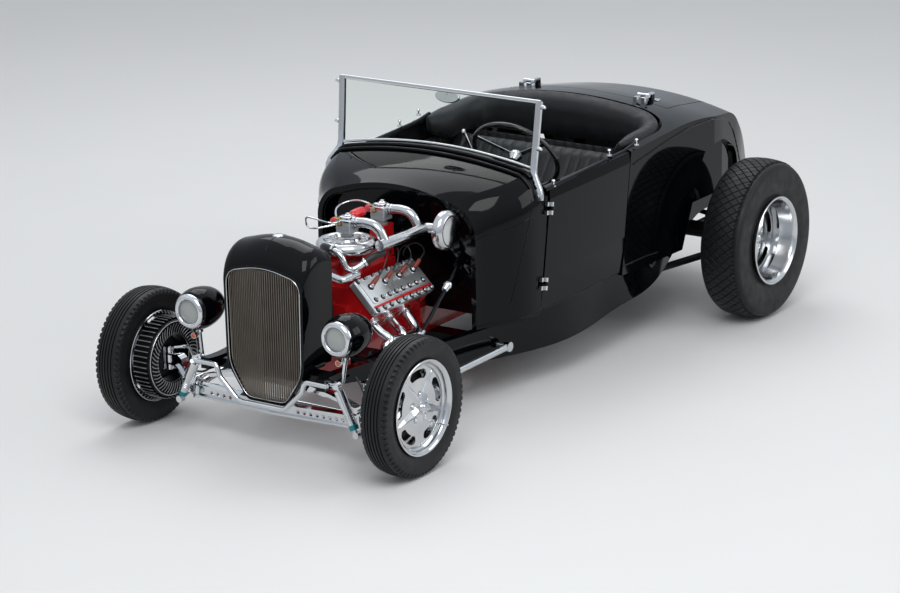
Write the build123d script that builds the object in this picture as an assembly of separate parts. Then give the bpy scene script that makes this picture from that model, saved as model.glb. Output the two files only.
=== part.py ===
"""Hot rod roadster: an open two-seat steel body on a channel frame, with an
uncovered vee-eight engine, a dropped front axle and tall rear tyres.

Millimetres. The front points to -Y, the car's left side is +X, and +Z is up.
Inside this script Y is counted from the middle of the wheelbase. PLACE moves
each finished piece so that the origin lies on the ground at the middle of the
whole car's length.
"""
import os
from math import asin, cos, pi, sin

from build123d import *

# Wheelbase, wheels and tyres
WHEELBASE = 2692.0
FRONT_AXLE_Y = -WHEELBASE / 2
REAR_AXLE_Y = WHEELBASE / 2
FRONT_TYRE_R = 294.0
FRONT_TYRE_W = 126.0
FRONT_RIM_R = 201.0
FRONT_RIM_W = 126.0
FRONT_WHEEL_X = 689.0
REAR_TYRE_R = 379.0
REAR_TYRE_W = 206.0
REAR_RIM_R = 210.0
REAR_RIM_W = 226.0
REAR_WHEEL_X = 812.0
TAIL_OVERHANG = 632.0

# The whole car's length runs from the front tyres to the tail
PLACE = Pos(0, (FRONT_TYRE_R - TAIL_OVERHANG) / 2, 0)
TAIL_Y = REAR_AXLE_Y + TAIL_OVERHANG

# Clearances
GAP = 5.0
SEAT = 0.3
RUNNING = 0.05

# Body
BODY_WALL = 24.0
COWL_FRONT_Y = -461.0
COWL_REAR_Y = -120.0
DOOR_FOOT = ((-158.0, 404.0), (468.0, 406.0))
DOOR_HEAD = ((-94.0, 875.0), (540.0, 900.0))
DOOR_WALL = 46.0
FLOOR_Z = 399.0
FLOOR_T = 12.0

# Steering
KINGPIN_X = 575.0
KINGPIN_R = 11.0
STEER_ARM = Vector(42, 110, 0)
TIE_ROD_Z = 160.0
DRAG_LINK_Z = 252.0

# Engine
CRANK = Vector(0, -755, 385)
BLOCK_LENGTH = 420.0
DECK_HEIGHT = 250.0
HEAD_SIZE = Vector(172, 440, 30)


def section_plane(y):
    """A plane across the car at y, with local x to the left and local y up."""
    return Plane(origin=(0, y, 0), x_dir=(1, 0, 0), z_dir=(0, -1, 0))


def rod(start, end, radius):
    """A straight round bar between two points."""
    start, end = Vector(*start), Vector(*end)
    axis = end - start
    return extrude(Plane(origin=start, z_dir=axis.normalized()) * Circle(radius), axis.length)


def pipe(points, radius, bends):
    """A round tube's outer form along straight runs with bends between them."""
    path = FilletPolyline(*points, radius=bends)
    start = Plane(origin=path @ 0, z_dir=path % 0)
    return sweep(start * Circle(radius), path=path)


def mirrored(shape):
    """The same piece on the other side of the car."""
    return mirror(shape, about=Plane.YZ)


def both(shape):
    """A piece and its mirror image as one node's solids."""
    return Compound(children=[*shape.solids(), *mirrored(shape).solids()])


def block(x, y, z):
    """A box from three (low, high) spans."""
    size = [span[1] - span[0] for span in (x, y, z)]
    centre = [(span[0] + span[1]) / 2 for span in (x, y, z)]
    return Pos(*centre) * Box(*size)


def side_prism(points, radius, x):
    """A prism along X from an outline in (y, z)."""
    outline = make_face(FilletPolyline(*points, radius=radius, close=True))
    return Pos(x[0], 0, 0) * extrude(Plane.YZ * outline, x[1] - x[0])


# The frame

# y, x of the outer face, z of the top, z of the bottom
RAIL_STATIONS = (
    (-1446, 322, 366, 316),
    (-1150, 338, 366, 290),
    (-760, 388, 342, 226),
    (-461, 428, 333, 192),
    (-150, 508, 352, 176),
    (350, 556, 372, 196),
    (800, 552, 386, 236),
    (1060, 520, 440, 320),
    (1346, 500, 545, 455),
    (1620, 484, 480, 400),
    (1820, 440, 420, 358),
)
RAIL_WIDTH = 44.0


def rail_at(y, column):
    """One column of the rail's table, read off between two stations."""
    for low, high in zip(RAIL_STATIONS, RAIL_STATIONS[1:]):
        if low[0] <= y <= high[0]:
            share = (y - low[0]) / (high[0] - low[0])
            return low[column] + share * (high[column] - low[column])
    raise ValueError(f"no rail at y = {y}")


def make_rails():
    """Both side rails, each bored through for a tie-down."""
    sections = []
    for y, outer_x, top, bottom in RAIL_STATIONS:
        middle = Pos(outer_x - RAIL_WIDTH / 2, (top + bottom) / 2)
        sections.append(section_plane(y) * middle * Rectangle(RAIL_WIDTH, top - bottom))
    x, y, z = TIE_DOWN
    rail = loft(sections) - rod((0, y, z), (x, y, z), TIE_DOWN_R)
    return [rail, mirrored(rail)]


def make_crossmembers(rails):
    """The members welded between the rails, each ending on their inner faces."""
    members = []
    for y, depth, top, height in CROSSMEMBERS:
        half = rail_at(y, 1) - RAIL_WIDTH / 2
        member = block((-half, half), (y - depth / 2, y + depth / 2), (top - height, top))
        members.append(member - rails[0] - rails[1])
    return members


TIE_DOWN = Vector(700, 600, 300)
TIE_DOWN_R = 12.0
REAR_SPRING_Y = REAR_AXLE_Y + 152
GEARBOX = ((-85, 85), (252, 432))
GEARBOX_END_Y = 60.0

# y, depth along the car, top, height
CROSSMEMBERS = (
    (FRONT_AXLE_Y, 84, 356, 42),
    (-300, 90, GEARBOX[1][0] - SEAT, 50),
    (420, 80, 300, 50),
    (REAR_SPRING_Y, 76, 500, 40),
    (1790, 50, 410, 40),
)

SPREADER_R = 11.0
SPREADER_Y = RAIL_STATIONS[0][0] - SPREADER_R - SEAT


def make_spreader():
    """The chrome tube that hugs the grille's foot and bolts to both horns."""
    half = [(RAIL_STATIONS[0][1] + 22, 348), (228, 348), (214, 300), (118, 207)]
    points = [(x, SPREADER_Y, z) for x, z in half]
    points += [(-x, y, z) for x, y, z in reversed(points)]
    return pipe(points, SPREADER_R, [28, 40, 60, 60, 40, 28])


# The front axle, its spring and its rods

AXLE_Z = 172.0
AXLE_BEAM = (50.0, 42.0)
BEAM_HOLES = 8
BEAM_HOLE_R = 8.5
BEAM_HOLE_PITCH = 33.0
FIRST_HOLE_X = 112.0
HUB_Z = FRONT_TYRE_R


def make_front_axle():
    """A dropped I-beam: low and drilled between the springs, high at the kingpins."""
    half_depth = AXLE_BEAM[0] / 2
    top = [(-KINGPIN_X, HUB_Z + half_depth), (-505, HUB_Z + half_depth), (-430, AXLE_Z + 34),
           (0, AXLE_Z + half_depth - 7)]
    bottom = [(-KINGPIN_X, HUB_Z - half_depth), (-530, HUB_Z - half_depth), (-440, AXLE_Z - 22),
              (0, AXLE_Z - half_depth - 7)]
    outline = top + [(-x, z) for x, z in reversed(top[:-1])]
    outline += [(-x, z) for x, z in bottom] + [(x, z) for x, z in reversed(bottom[:-1])]
    radii = [0, 40, 60, 2500, 60, 40, 0, 0, 40, 60, 2500, 60, 40, 0]
    face = make_face(FilletPolyline(*outline, radius=radii, close=True))
    beam = extrude(section_plane(FRONT_AXLE_Y) * face, AXLE_BEAM[1] / 2, both=True)
    web = offset(face, -8)
    pocket_depth = 13.0
    for side in (-1, 1):
        y = FRONT_AXLE_Y + side * AXLE_BEAM[1] / 2
        beam -= extrude(section_plane(y) * web, pocket_depth * side)
    for side in (-1, 1):
        for number in range(BEAM_HOLES):
            x = side * (FIRST_HOLE_X + number * BEAM_HOLE_PITCH)
            drop = 7 * (1 - (x / 430) ** 2)
            beam -= Pos(x, FRONT_AXLE_Y, AXLE_Z + 3 - drop) * Rot(90, 0, 0) * Cylinder(BEAM_HOLE_R, 60)
        boss = Pos(side * KINGPIN_X, FRONT_AXLE_Y, HUB_Z)
        beam += boss * Cylinder(22, AXLE_BEAM[0] + 4)
        beam += boss * Cylinder(KINGPIN_R, KINGPIN_LENGTH)
        perch = (SPRING_EYE_Z - LEAF[1] - SPRING_EYE_R - SEAT) - (AXLE_Z - 30)
        beam += Pos(side * PERCH_X, FRONT_AXLE_Y, AXLE_Z - 30 + perch / 2) * Cylinder(19, perch)
    return beam


KINGPIN_LENGTH = 104.0
PERCH_X = 428.0
SPRING_EYE_Z = 236.0
SPRING_EYE_R = 13.0
LEAF = (45.0, 6.5)
LEAVES = 5


def leaf_pack(y, top, half_lengths, drop):
    """Bowed leaves under one another across the car, each shorter than the last."""
    pack = None
    for number, half in enumerate(half_lengths):
        high = top - number * LEAF[1]
        low = high - 1.3 * LEAF[1]
        fall = drop * half**2
        upper = ThreePointArc((-half, high - fall), (0, high), (half, high - fall))
        lower = ThreePointArc((half, low - fall), (0, low), (-half, low - fall))
        edges = [upper, Line(upper @ 1, lower @ 0), lower, Line(lower @ 1, upper @ 0)]
        leaf = extrude(section_plane(y) * make_face(Curve() + edges), LEAF[0] / 2, both=True)
        pack = leaf if pack is None else pack + leaf
    return pack


def make_front_spring():
    """A transverse leaf pack under the crossmember, hung on shackles over the perches."""
    top = CROSSMEMBERS[0][2] - CROSSMEMBERS[0][3] - SEAT
    drop = (top - SPRING_EYE_Z) / PERCH_X**2
    spring = leaf_pack(FRONT_AXLE_Y, top, [PERCH_X - 12 - number * 76 for number in range(LEAVES)], drop)
    for side in (-1, 1):
        eye = Pos(side * (PERCH_X - 10), FRONT_AXLE_Y, SPRING_EYE_Z - LEAF[1] + 1) * Rot(90, 0, 0)
        spring += eye * Cylinder(SPRING_EYE_R, LEAF[0] + 2)
    return spring


ROD_R = 16.0
ROD_FRONT = Vector(432, FRONT_AXLE_Y + 40, 196)
ROD_REAR = Vector(504, -345, 246)


def make_radius_rod(frame):
    """One chrome radius rod with its eye at the axle and its joint at the frame."""
    bar = rod(ROD_FRONT, ROD_REAR, ROD_R)
    bar += Pos(*ROD_REAR) * Rot(0, 90, 0) * Cylinder(22, 30)
    bar += rod((ROD_REAR.X - 60, ROD_REAR.Y, ROD_REAR.Z), ROD_REAR, 10) - frame
    clevis_y = FRONT_AXLE_Y + AXLE_BEAM[1] / 2 + SEAT + 11
    return bar + Pos(ROD_FRONT.X, clevis_y, ROD_FRONT.Z - 4) * Box(34, 22, 36)


SHOCK_FOOT = Vector(462, FRONT_AXLE_Y - 74, 148)
SHOCK_HEAD = Vector(366, FRONT_AXLE_Y - 74, 345)
SHOCK_R = 19.0


def make_shock(frame):
    """One leaning tube damper between the axle's end and the frame horn."""
    axis = (SHOCK_HEAD - SHOCK_FOOT).normalized()
    body = rod(SHOCK_FOOT + axis * 24, SHOCK_FOOT + axis * 118, SHOCK_R)
    cover = rod(SHOCK_FOOT + axis * 118, SHOCK_HEAD - axis * 22, SHOCK_R + 3)
    stem = rod(SHOCK_FOOT, SHOCK_HEAD, 7)
    shock = body + cover + stem
    for end in (SHOCK_FOOT, SHOCK_HEAD):
        shock += Pos(*end) * Rot(90, 0, 0) * Cylinder(15, 26)
    axle_face = FRONT_AXLE_Y - AXLE_BEAM[1] / 2 - SEAT
    foot_pin = rod((SHOCK_FOOT.X, axle_face, SHOCK_FOOT.Z + 14), (SHOCK_FOOT.X, SHOCK_FOOT.Y, SHOCK_FOOT.Z), 8)
    foot_pin -= block((0, 700), (axle_face, axle_face + 40), (0, 400))
    head_pin = rod((SHOCK_HEAD.X - 80, SHOCK_HEAD.Y, SHOCK_HEAD.Z), SHOCK_HEAD, 9) - frame
    return shock + foot_pin + head_pin


def make_knuckle(side):
    """The steering knuckle: two lugs round the kingpin, the spindle and the arms."""
    here = Pos(KINGPIN_X, FRONT_AXLE_Y, HUB_Z)
    lug = Pos(0, 0, AXLE_BEAM[0] / 2 + 2 + SEAT + 11) * Cylinder(20, 22)
    yoke = lug + mirror(lug, about=Plane.XY) + block((14, 34), (-26, 26), (-50, 50))
    yoke -= Cylinder(KINGPIN_R + RUNNING, 160)
    yoke -= Cylinder(22 + SEAT + 2, AXLE_BEAM[0] + 4 + 2 * SEAT)
    spindle_end = FRONT_WHEEL_X + FRONT_RIM_W / 2 - FRONT_DISH - HUB_DEPTH - SEAT - KINGPIN_X
    yoke += rod((30, 0, 0), (spindle_end, 0, 0), 17)
    yoke += Pos(40, 0, 0) * Rot(0, 90, 0) * Cylinder(96, 8)
    arm_z = TIE_ROD_Z + 20 - HUB_Z
    arm = [(-2, 21, -40), (-30, 36, -66), (-STEER_ARM.X, 78, arm_z + 8), (-STEER_ARM.X, STEER_ARM.Y, arm_z)]
    yoke += pipe(arm, 8, [18, 30])
    yoke += Pos(-STEER_ARM.X, STEER_ARM.Y, arm_z) * Cylinder(13, 18)
    if side < 0:
        upper_z = DRAG_LINK_Z + 20 - HUB_Z
        upper = [(-2, 21, 41), (-STEER_ARM.X, 46, 42), (-STEER_ARM.X, 78, 36),
                 (-STEER_ARM.X, STEER_ARM.Y, upper_z)]
        yoke += pipe(upper, 8, [12, 14])
        yoke += Pos(-STEER_ARM.X, STEER_ARM.Y, upper_z) * Cylinder(13, 18)
    knuckle = here * yoke
    return knuckle if side > 0 else mirrored(knuckle)


def eye(kingpin_x, side, z):
    """Where an arm's ball joint sits at rest."""
    return Vector(kingpin_x - side * STEER_ARM.X, FRONT_AXLE_Y + STEER_ARM.Y, z)


def make_link(start, end, radius):
    """A steering rod with a ball socket at each end, hung under the arms' eyes."""
    link = rod(start, end, radius)
    for point in (start, end):
        link += Pos(point.X, point.Y, point.Z - 1) * Cylinder(14, 2 * (20 - 9 - SEAT) - 2)
    return link


def make_tie_rod():
    return make_link(eye(KINGPIN_X, 1, TIE_ROD_Z), eye(-KINGPIN_X, -1, TIE_ROD_Z), 10)


PITMAN = Vector(257, -1080, 238)


def make_drag_link():
    start = PITMAN + Vector(STEER_ARM.X, STEER_ARM.Y, -20)
    return make_link(start, eye(-KINGPIN_X, -1, DRAG_LINK_Z), 9)


def make_pitman_arm():
    reach = Vector(STEER_ARM.X, STEER_ARM.Y, 0)
    arm = rod(PITMAN, PITMAN + reach, 7)
    arm += Pos(*PITMAN) * Cylinder(16, 18)
    return arm + Pos(*(PITMAN + reach)) * Cylinder(13, 18)


# Wheels, tyres and brakes. Each is made about +Z as its axle, outside up.

SPOKES = 5
HUB_DEPTH = 30.0
FRONT_DISH = 30.0
REAR_DISH = 118.0
WINDOW_R = 0.69


def make_wheel(rim_r, rim_w, dish):
    """A polished five-spoke star wheel: rim, windowed disc, star and cap."""
    half = rim_w / 2
    seat_r = rim_r - 12
    well_r = rim_r - 34
    wall = 5.0
    profile = [
        (rim_r, half), (seat_r, half - 9), (seat_r - 3, half - 34), (well_r, half - 46),
        (well_r, half - 74), (seat_r - 3, half - 86), (seat_r, 9 - half), (rim_r, -half),
        (rim_r - wall, -half), (seat_r - wall - 1, 6 - half), (seat_r - wall - 3, half - 88),
        (well_r - wall, half - 76), (well_r - wall, half - 44), (seat_r - wall - 3, half - 32),
        (seat_r - wall, half - 6), (rim_r - wall, half),
    ]
    wheel = revolve(Plane.XZ * make_face(Polyline(*profile, close=True)), Axis.Z)
    disc_z = half - dish
    disc_r = seat_r - wall
    disc = Pos(0, 0, disc_z - 5) * Cylinder(disc_r, 10)
    window = SlotCenterToCenter(0.30 * disc_r, 0.15 * disc_r, rotation=90)
    for number in range(SPOKES):
        turn = Rot(0, 0, 360 / SPOKES * (number + 0.5))
        disc -= turn * Pos(WINDOW_R * disc_r, 0, disc_z - 5) * extrude(window, 8, both=True)
    for number in range(SPOKES):
        tip = make_face(Polyline((14, 30), (0.86 * disc_r, 5), (0.86 * disc_r, -5), (14, -30), close=True))
        ridge = extrude(Pos(0, 0, disc_z) * tip, 16, taper=14)
        disc += Rot(0, 0, 360 / SPOKES * number) * ridge
    hub = [(0, disc_z + 32), (16, disc_z + 29), (25, disc_z + 20), (31, disc_z + 4), (38, disc_z),
           (38, disc_z - HUB_DEPTH), (0, disc_z - HUB_DEPTH)]
    disc += revolve(Plane.XZ * make_face(Polyline(*hub, close=True)), Axis.Z)
    return wheel + disc


def make_tyre(tyre_r, tyre_w, rim_r, rim_w, crown):
    """A tyre from bead to bead, with a rounded shoulder and a nearly flat tread."""
    half = tyre_w / 2
    bead = min(rim_w, tyre_w) / 2 - 12
    bead_r = rim_r - 12 + SEAT
    shoulder_r = tyre_r - 0.20 * (tyre_r - rim_r)
    tread_half = 0.76 * half
    right = [(bead_r, bead - 2), (rim_r + 3, bead + 1)]
    side = ThreePointArc((rim_r + 3, bead + 1), ((rim_r + shoulder_r) / 2 + 4, half), (shoulder_r, half - 6))
    shoulder = TangentArc(side @ 1, (tyre_r - crown, tread_half), tangent=side % 1)
    tread = ThreePointArc((tyre_r - crown, tread_half), (tyre_r, 0), (tyre_r - crown, -tread_half))
    edges = [Line(right[0], right[1]), side, shoulder]
    lower = [mirror(edge, about=Plane.XZ) for edge in edges]
    foot = Line((bead_r, bead - 2), (bead_r, 2 - bead))
    face = make_face(Curve() + [*edges, tread, *lower, foot])
    return revolve(Plane.XZ * face, Axis.Z)


FINS = 44
DRUM_R = 168.0
FIN_R = 180.0
DRUM_DEPTH = 92.0
DRUM_FACE_X = 549.0
DRUM_MOUTH_R = 106.0


def make_front_drum():
    """A deep finned brake drum, open towards the car, round the knuckle."""
    face_z = DRUM_FACE_X - FRONT_WHEEL_X
    back_z = FRONT_RIM_W / 2 - FRONT_DISH - HUB_DEPTH - SEAT
    shell = [(DRUM_MOUTH_R, face_z + 12), (DRUM_R - 8, face_z + 4), (DRUM_R, face_z + 12),
             (DRUM_R, face_z + DRUM_DEPTH), (DRUM_R - 24, back_z - 2), (40, back_z), (40, back_z - 8),
             (DRUM_R - 30, back_z - 9), (DRUM_R - 9, face_z + DRUM_DEPTH - 6), (DRUM_R - 9, face_z + 20),
             (DRUM_MOUTH_R, face_z + 22)]
    drum = revolve(Plane.XZ * make_face(Polyline(*shell, close=True)), Axis.Z)
    fin = [(DRUM_MOUTH_R + 2, face_z + 14), (DRUM_MOUTH_R + 14, face_z + 2), (FIN_R - 12, face_z),
           (FIN_R, face_z + 10), (FIN_R - 2, face_z + DRUM_DEPTH - 12), (DRUM_R - 4, face_z + DRUM_DEPTH - 6),
           (DRUM_R - 4, face_z + 12), (DRUM_MOUTH_R + 2, face_z + 18)]
    blade = extrude(Plane.XZ * make_face(Polyline(*fin, close=True)), 1.6, both=True)
    return drum + [Rot(0, 0, 360 / FINS * number) * blade for number in range(FINS)]


def make_rear_drum():
    """A plain brake drum between the axle flange and the rear wheel's disc."""
    back_z = REAR_DRUM_FACE
    drum = Pos(0, 0, back_z - 34) * Cylinder(142, 68)
    return drum - Pos(0, 0, back_z - 42) * Cylinder(134, 60)


REAR_DRUM_FACE = REAR_RIM_W / 2 - REAR_DISH - HUB_DEPTH - SEAT


def stand_wheel(shape, side, wheel_x, axle_y, z):
    """Turns a piece made about +Z so that its outside faces out on one side."""
    return Pos(side * wheel_x, axle_y, z) * Rot(0, side * 90, 0) * shape


# The rear axle

AXLE_TUBE_R = 38.0
REAR_HUB_Z = REAR_TYRE_R
REAR_FLANGE_X = REAR_WHEEL_X + REAR_DRUM_FACE - 68 - 6


def make_rear_axle():
    """Tubes, centre housing, brake backing plates and the torque tube to the gearbox."""
    centre = Pos(0, REAR_AXLE_Y, REAR_HUB_Z)
    along = Rot(0, 90, 0)
    axle = centre * along * Cylinder(AXLE_TUBE_R, 2 * REAR_FLANGE_X)
    housing = revolve(Plane.XZ * make_face(Polyline((0, -92), (74, -70), (116, -26), (116, 26), (74, 70),
                                                    (0, 92), close=True)), Axis.Z)
    axle += centre * along * housing
    for side in (-1, 1):
        axle += Pos(side * REAR_FLANGE_X, REAR_AXLE_Y, REAR_HUB_Z) * along * Cylinder(136, 8)
        outboard = REAR_WHEEL_X + REAR_DRUM_FACE - 12 - SEAT
        axle += rod((side * REAR_FLANGE_X, REAR_AXLE_Y, REAR_HUB_Z), (side * outboard, REAR_AXLE_Y, REAR_HUB_Z), 24)
        seat = (side * SPRING_X, REAR_SPRING_Y, REAR_HUB_Z + 14)
        axle += rod((side * SPRING_X, REAR_AXLE_Y, REAR_HUB_Z + 14), seat, 12)
        axle += Pos(*seat) * Cylinder(16, 30)
    tube = rod((0, REAR_AXLE_Y - 90, REAR_HUB_Z - 4), (0, GEARBOX_END_Y - 20, GEARBOX_Z), TORQUE_TUBE_R)
    return axle + (tube - block((-99, 99), (GEARBOX_END_Y - 99, GEARBOX_END_Y + SEAT), (200, 500)))


SPRING_X = 470.0
TORQUE_TUBE_R = 34.0
GEARBOX_Z = sum(GEARBOX[1]) / 2
REAR_ROD_FRONT = Vector(330, 900, 205)
REAR_ROD_BACK = Vector(600, REAR_AXLE_Y - 96, 290)


def make_rear_spring():
    """A transverse leaf pack between the rear crossmember and the axle's perches."""
    top = CROSSMEMBERS[3][2] - CROSSMEMBERS[3][3] - SEAT
    foot = REAR_HUB_Z + 32 + SEAT
    drop = (top - 1.3 * LEAF[1] - foot) / SPRING_X**2
    return leaf_pack(REAR_SPRING_Y, top, [SPRING_X - number * 70 for number in range(LEAVES + 2)], drop)


def make_rear_radius_rod(frame):
    """One black rod from the axle's bracket to the frame's middle."""
    bar = rod(REAR_ROD_FRONT, REAR_ROD_BACK, 17)
    bar += Pos(*REAR_ROD_FRONT) * Cylinder(24, 44)
    bracket = rod(REAR_ROD_BACK, (REAR_ROD_BACK.X, REAR_AXLE_Y, REAR_HUB_Z), 13)
    tube = Pos(REAR_ROD_BACK.X, REAR_AXLE_Y, REAR_HUB_Z) * Rot(0, 90, 0) * Cylinder(AXLE_TUBE_R + SEAT, 60)
    arm = rod(REAR_ROD_FRONT, (rail_at(REAR_ROD_FRONT.Y, 1) - 20, REAR_ROD_FRONT.Y, 300), 13)
    return bar + (bracket - tube) + (arm - frame)


# The engine

def bank_plane(side):
    """The deck face of one cylinder bank, seen square on."""
    tilt = Vector(side * sin(pi / 4), 0, cos(pi / 4))
    return Plane(origin=CRANK + tilt * DECK_HEIGHT, x_dir=(cos(pi / 4), 0, -side * sin(pi / 4)), z_dir=tilt)


def make_engine():
    """Vee block, oil pan, timing cover, bell housing and gearbox as one casting group."""
    length = BLOCK_LENGTH
    engine = Pos(*CRANK) * Box(236, length, 190)
    for side in (-1, 1):
        plane = bank_plane(side)
        engine += plane * Pos(0, 0, -DECK_HEIGHT / 2) * Box(HEAD_SIZE.X - 6, length, DECK_HEIGHT)
    valley_top = CRANK.Z + 218
    engine += block((-104, 104), (CRANK.Y - length / 2, CRANK.Y + length / 2), (CRANK.Z, valley_top))
    pan = Pos(CRANK.X, CRANK.Y + 10, CRANK.Z - 150) * Box(190, length - 30, 110)
    pan = fillet(pan.edges().filter_by(Axis.Y).group_by(Axis.Z)[0], 30)
    engine += pan
    rear = CRANK.Y + length / 2
    engine += Pos(0, rear + 60, CRANK.Z + 5) * Rot(90, 0, 0) * Cone(130, 185, 120)
    engine += block(GEARBOX[0], (rear + 100, GEARBOX_END_Y), GEARBOX[1])
    front = CRANK.Y - length / 2
    engine += Pos(0, front - 12, CRANK.Z + 40) * Box(210, 24, 210)
    engine += rod((0, front, CRANK.Z), (0, PULLEY_Y + PULLEY_W / 2 + SEAT, CRANK.Z), 24)
    for side in (-1, 1):
        engine += Pos(side * 118, front - 22, CRANK.Z + 66) * Rot(90, 0, 0) * Cylinder(42, 44)
    return engine


def make_head(side):
    """One polished cylinder head with a raised middle, lying on its bank."""
    plane = bank_plane(side)
    head = plane * Pos(0, 0, SEAT + HEAD_SIZE.Z / 2) * Box(HEAD_SIZE.X, HEAD_SIZE.Y, HEAD_SIZE.Z)
    head = fillet(head.edges().filter_by(plane.z_dir.cross(Vector(0, 1, 0)).X and Axis.Y), 5)
    rib = plane * Pos(0, 0, SEAT + HEAD_SIZE.Z + 3) * Box(HEAD_SIZE.X - 60, HEAD_SIZE.Y - 40, 6)
    return head + rib


BLOWER_R = 118.0
BLOWER_DRIVE_Y = -964.0
BLOWER_DRIVE_Z = 698.0
BLOWER_TUBE_R = 28.0
BLOWER = Vector(14, -842, 759.7)
CARB_Y = (-842.0, -588.0)
CARB_Z = 846.0
CARB_X = 18.0


def make_intake():
    """The manifold in the valley and the riser under the rear carburettor."""
    valley_top = CRANK.Z + 218 + SEAT
    base = Pos(0, CRANK.Y, valley_top + 22) * Box(150, 370, 44)
    neck = Pos(BLOWER.X, BLOWER.Y, valley_top + 60) * Cylinder(72, 60)
    rear = Pos(CARB_X, CARB_Y[1], (valley_top + 44 + CARB_Z - 54) / 2) * Box(70, 80, CARB_Z - 54 - valley_top - 44)
    drive = rod((0, BLOWER_DRIVE_Y, BLOWER_DRIVE_Z), (0, BLOWER.Y, BLOWER_DRIVE_Z), 26)
    return base + neck + rear + drive


def make_blower():
    """The flat blower: a round scroll tube about a plate, with its short outlet."""
    place = Pos(*BLOWER)
    blower = place * Torus(BLOWER_R - BLOWER_TUBE_R + 16, BLOWER_TUBE_R)
    blower += place * Cylinder(BLOWER_R - 12, 42)
    blower += place * Pos(0, 0, 26) * Cylinder(52, 14)
    return blower


def make_carburettor(y):
    """One carburettor: bowl, throttle body, air horn and accelerator pump side."""
    place = Pos(CARB_X, y, CARB_Z)
    carb = place * Box(74, 66, 62)
    carb = fillet(carb.edges().filter_by(Axis.Z), 8)
    carb += place * Pos(0, 0, -42) * Cylinder(26, 22)
    carb += place * Pos(0, 0, 38) * Cylinder(30, 14)
    carb += place * Pos(-46, 0, 8) * Rot(0, 90, 0) * Cylinder(20, 20)
    return carb


def make_linkage():
    """The fuel block between the carburettors and the bent feed lines."""
    low, high = CARB_Y
    x = CARB_X - 34
    bar = rod((x, low + 33 + SEAT, CARB_Z + 18), (x, high - 33 - SEAT, CARB_Z + 18), 13)
    loop = pipe([(CARB_X - 10, low - 33 - SEAT, CARB_Z + 20), (CARB_X - 10, low - 70, CARB_Z + 20),
                 (CARB_X - 150, low - 70, CARB_Z + 30), (CARB_X - 150, low - 70, CARB_Z - 36),
                 (CARB_X - 60, low - 40, CARB_Z - 36)], 4, [14, 14, 14])
    return Compound(children=[bar, loop])


TUBE_R = 25.0
CROSS_X = 212.0
CROSS_Z = 786.0
CLEANER = Vector(322, -535, 790)


def make_intake_tubes():
    """A stub from each carburettor into one pipe along the engine to the cleaner."""
    front, rear = CARB_Y
    tubes = pipe([(CROSS_X, front - 40, CROSS_Z), (CROSS_X, CLEANER.Y, CROSS_Z),
                  (CLEANER.X - 24 - SEAT, CLEANER.Y, CROSS_Z)], TUBE_R, 40)
    for y in CARB_Y:
        out = CARB_X + 37 + SEAT
        tubes += pipe([(out, y, CARB_Z - 6), (out + 74, y, CARB_Z - 6), (CROSS_X, y, CROSS_Z + 4)], TUBE_R - 5, 50)
    return tubes


def make_air_cleaner():
    """The round polished air cleaner, its plain face to the car's left."""
    profile = [(0, 30), (52, 28), (80, 18), (88, 8), (88, -18), (80, -24), (0, -24)]
    body = revolve(Plane.XZ * make_face(Polyline(*profile, close=True)), Axis.Z)
    return Pos(*CLEANER) * Rot(0, 90, 0) * body


HEADER_R = 20.0
PORTS_Y = (-895.0, -780.0, -668.0)
PORT_REACH = 170.0
COLLECTOR = Vector(262, -810, 292)
TAILPIPE = ((300, -560, 132), (300, 780, 152))


def make_exhaust():
    """Three short header tubes that join, and the pipe back under the floor."""
    half = (HEAD_SIZE.X - 6) / 2
    slope = Vector(1, 0, -1).normalized()
    port = CRANK + slope * (half + SEAT) + Vector(1, 0, 1).normalized() * PORT_REACH
    exhaust = None
    for y in PORTS_Y:
        start = Vector(port.X, y, port.Z)
        knee = Vector(COLLECTOR.X, (y + COLLECTOR.Y) / 2, 344)
        tube = pipe([start, start + slope * 66, knee, COLLECTOR], HEADER_R, [30, 18])
        exhaust = tube if exhaust is None else exhaust + tube
    under = (COLLECTOR.X + 10, COLLECTOR.Y + 70, 140)
    return exhaust + pipe([COLLECTOR, under, *TAILPIPE], 24, [40, 60])


PULLEY_Y = -1022.0
PULLEY_W = 24.0
PULLEYS = ((CRANK.Z, 62.0), (BLOWER_DRIVE_Z, 40.0))
BELT_T = 5.0


def belt_outline(grow):
    """The belt's path round both pulleys, grown outward."""
    (low_z, low_r), (high_z, high_r) = PULLEYS
    lean = asin((low_r - high_r) / (high_z - low_z))
    low, high = low_r + grow, high_r + grow
    a = (low * cos(lean), low_z + low * sin(lean))
    b = (high * cos(lean), high_z + high * sin(lean))
    edges = [Line(a, b), ThreePointArc(b, (0, high_z + high), (-b[0], b[1])), Line((-b[0], b[1]), (-a[0], a[1])),
             ThreePointArc((-a[0], a[1]), (0, low_z - low), a)]
    return make_face(Curve() + edges)


def make_belt_drive():
    """The crank's and the blower's pulleys with the belt round them."""
    plane = section_plane(PULLEY_Y)
    drive = extrude(plane * (belt_outline(BELT_T) - belt_outline(0)), PULLEY_W / 2 - 2, both=True)
    for z, radius in PULLEYS:
        drive += Pos(0, PULLEY_Y, z) * Rot(90, 0, 0) * Cylinder(radius, PULLEY_W)
    return drive + rod((0, PULLEY_Y, BLOWER_DRIVE_Z), (0, BLOWER_DRIVE_Y - SEAT, BLOWER_DRIVE_Z), 14)


# The radiator and the grille

SHELL_Y = (-1422.0, -1226.0)
SHELL_WALL = 9.0


def shell_outline(half, top, grow=0.0):
    """The grille's front outline: a narrow foot, near-straight sides, a rounded crown."""
    points = [(-100, 208 - grow), (100, 208 - grow), (200 + grow, 352), (half + grow, top - 58),
              (0, top + grow), (-half - grow, top - 58), (-200 - grow, 352)]
    return make_face(FilletPolyline(*points, radius=[46, 46, 160, 62, 420, 62, 160], close=True))


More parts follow.
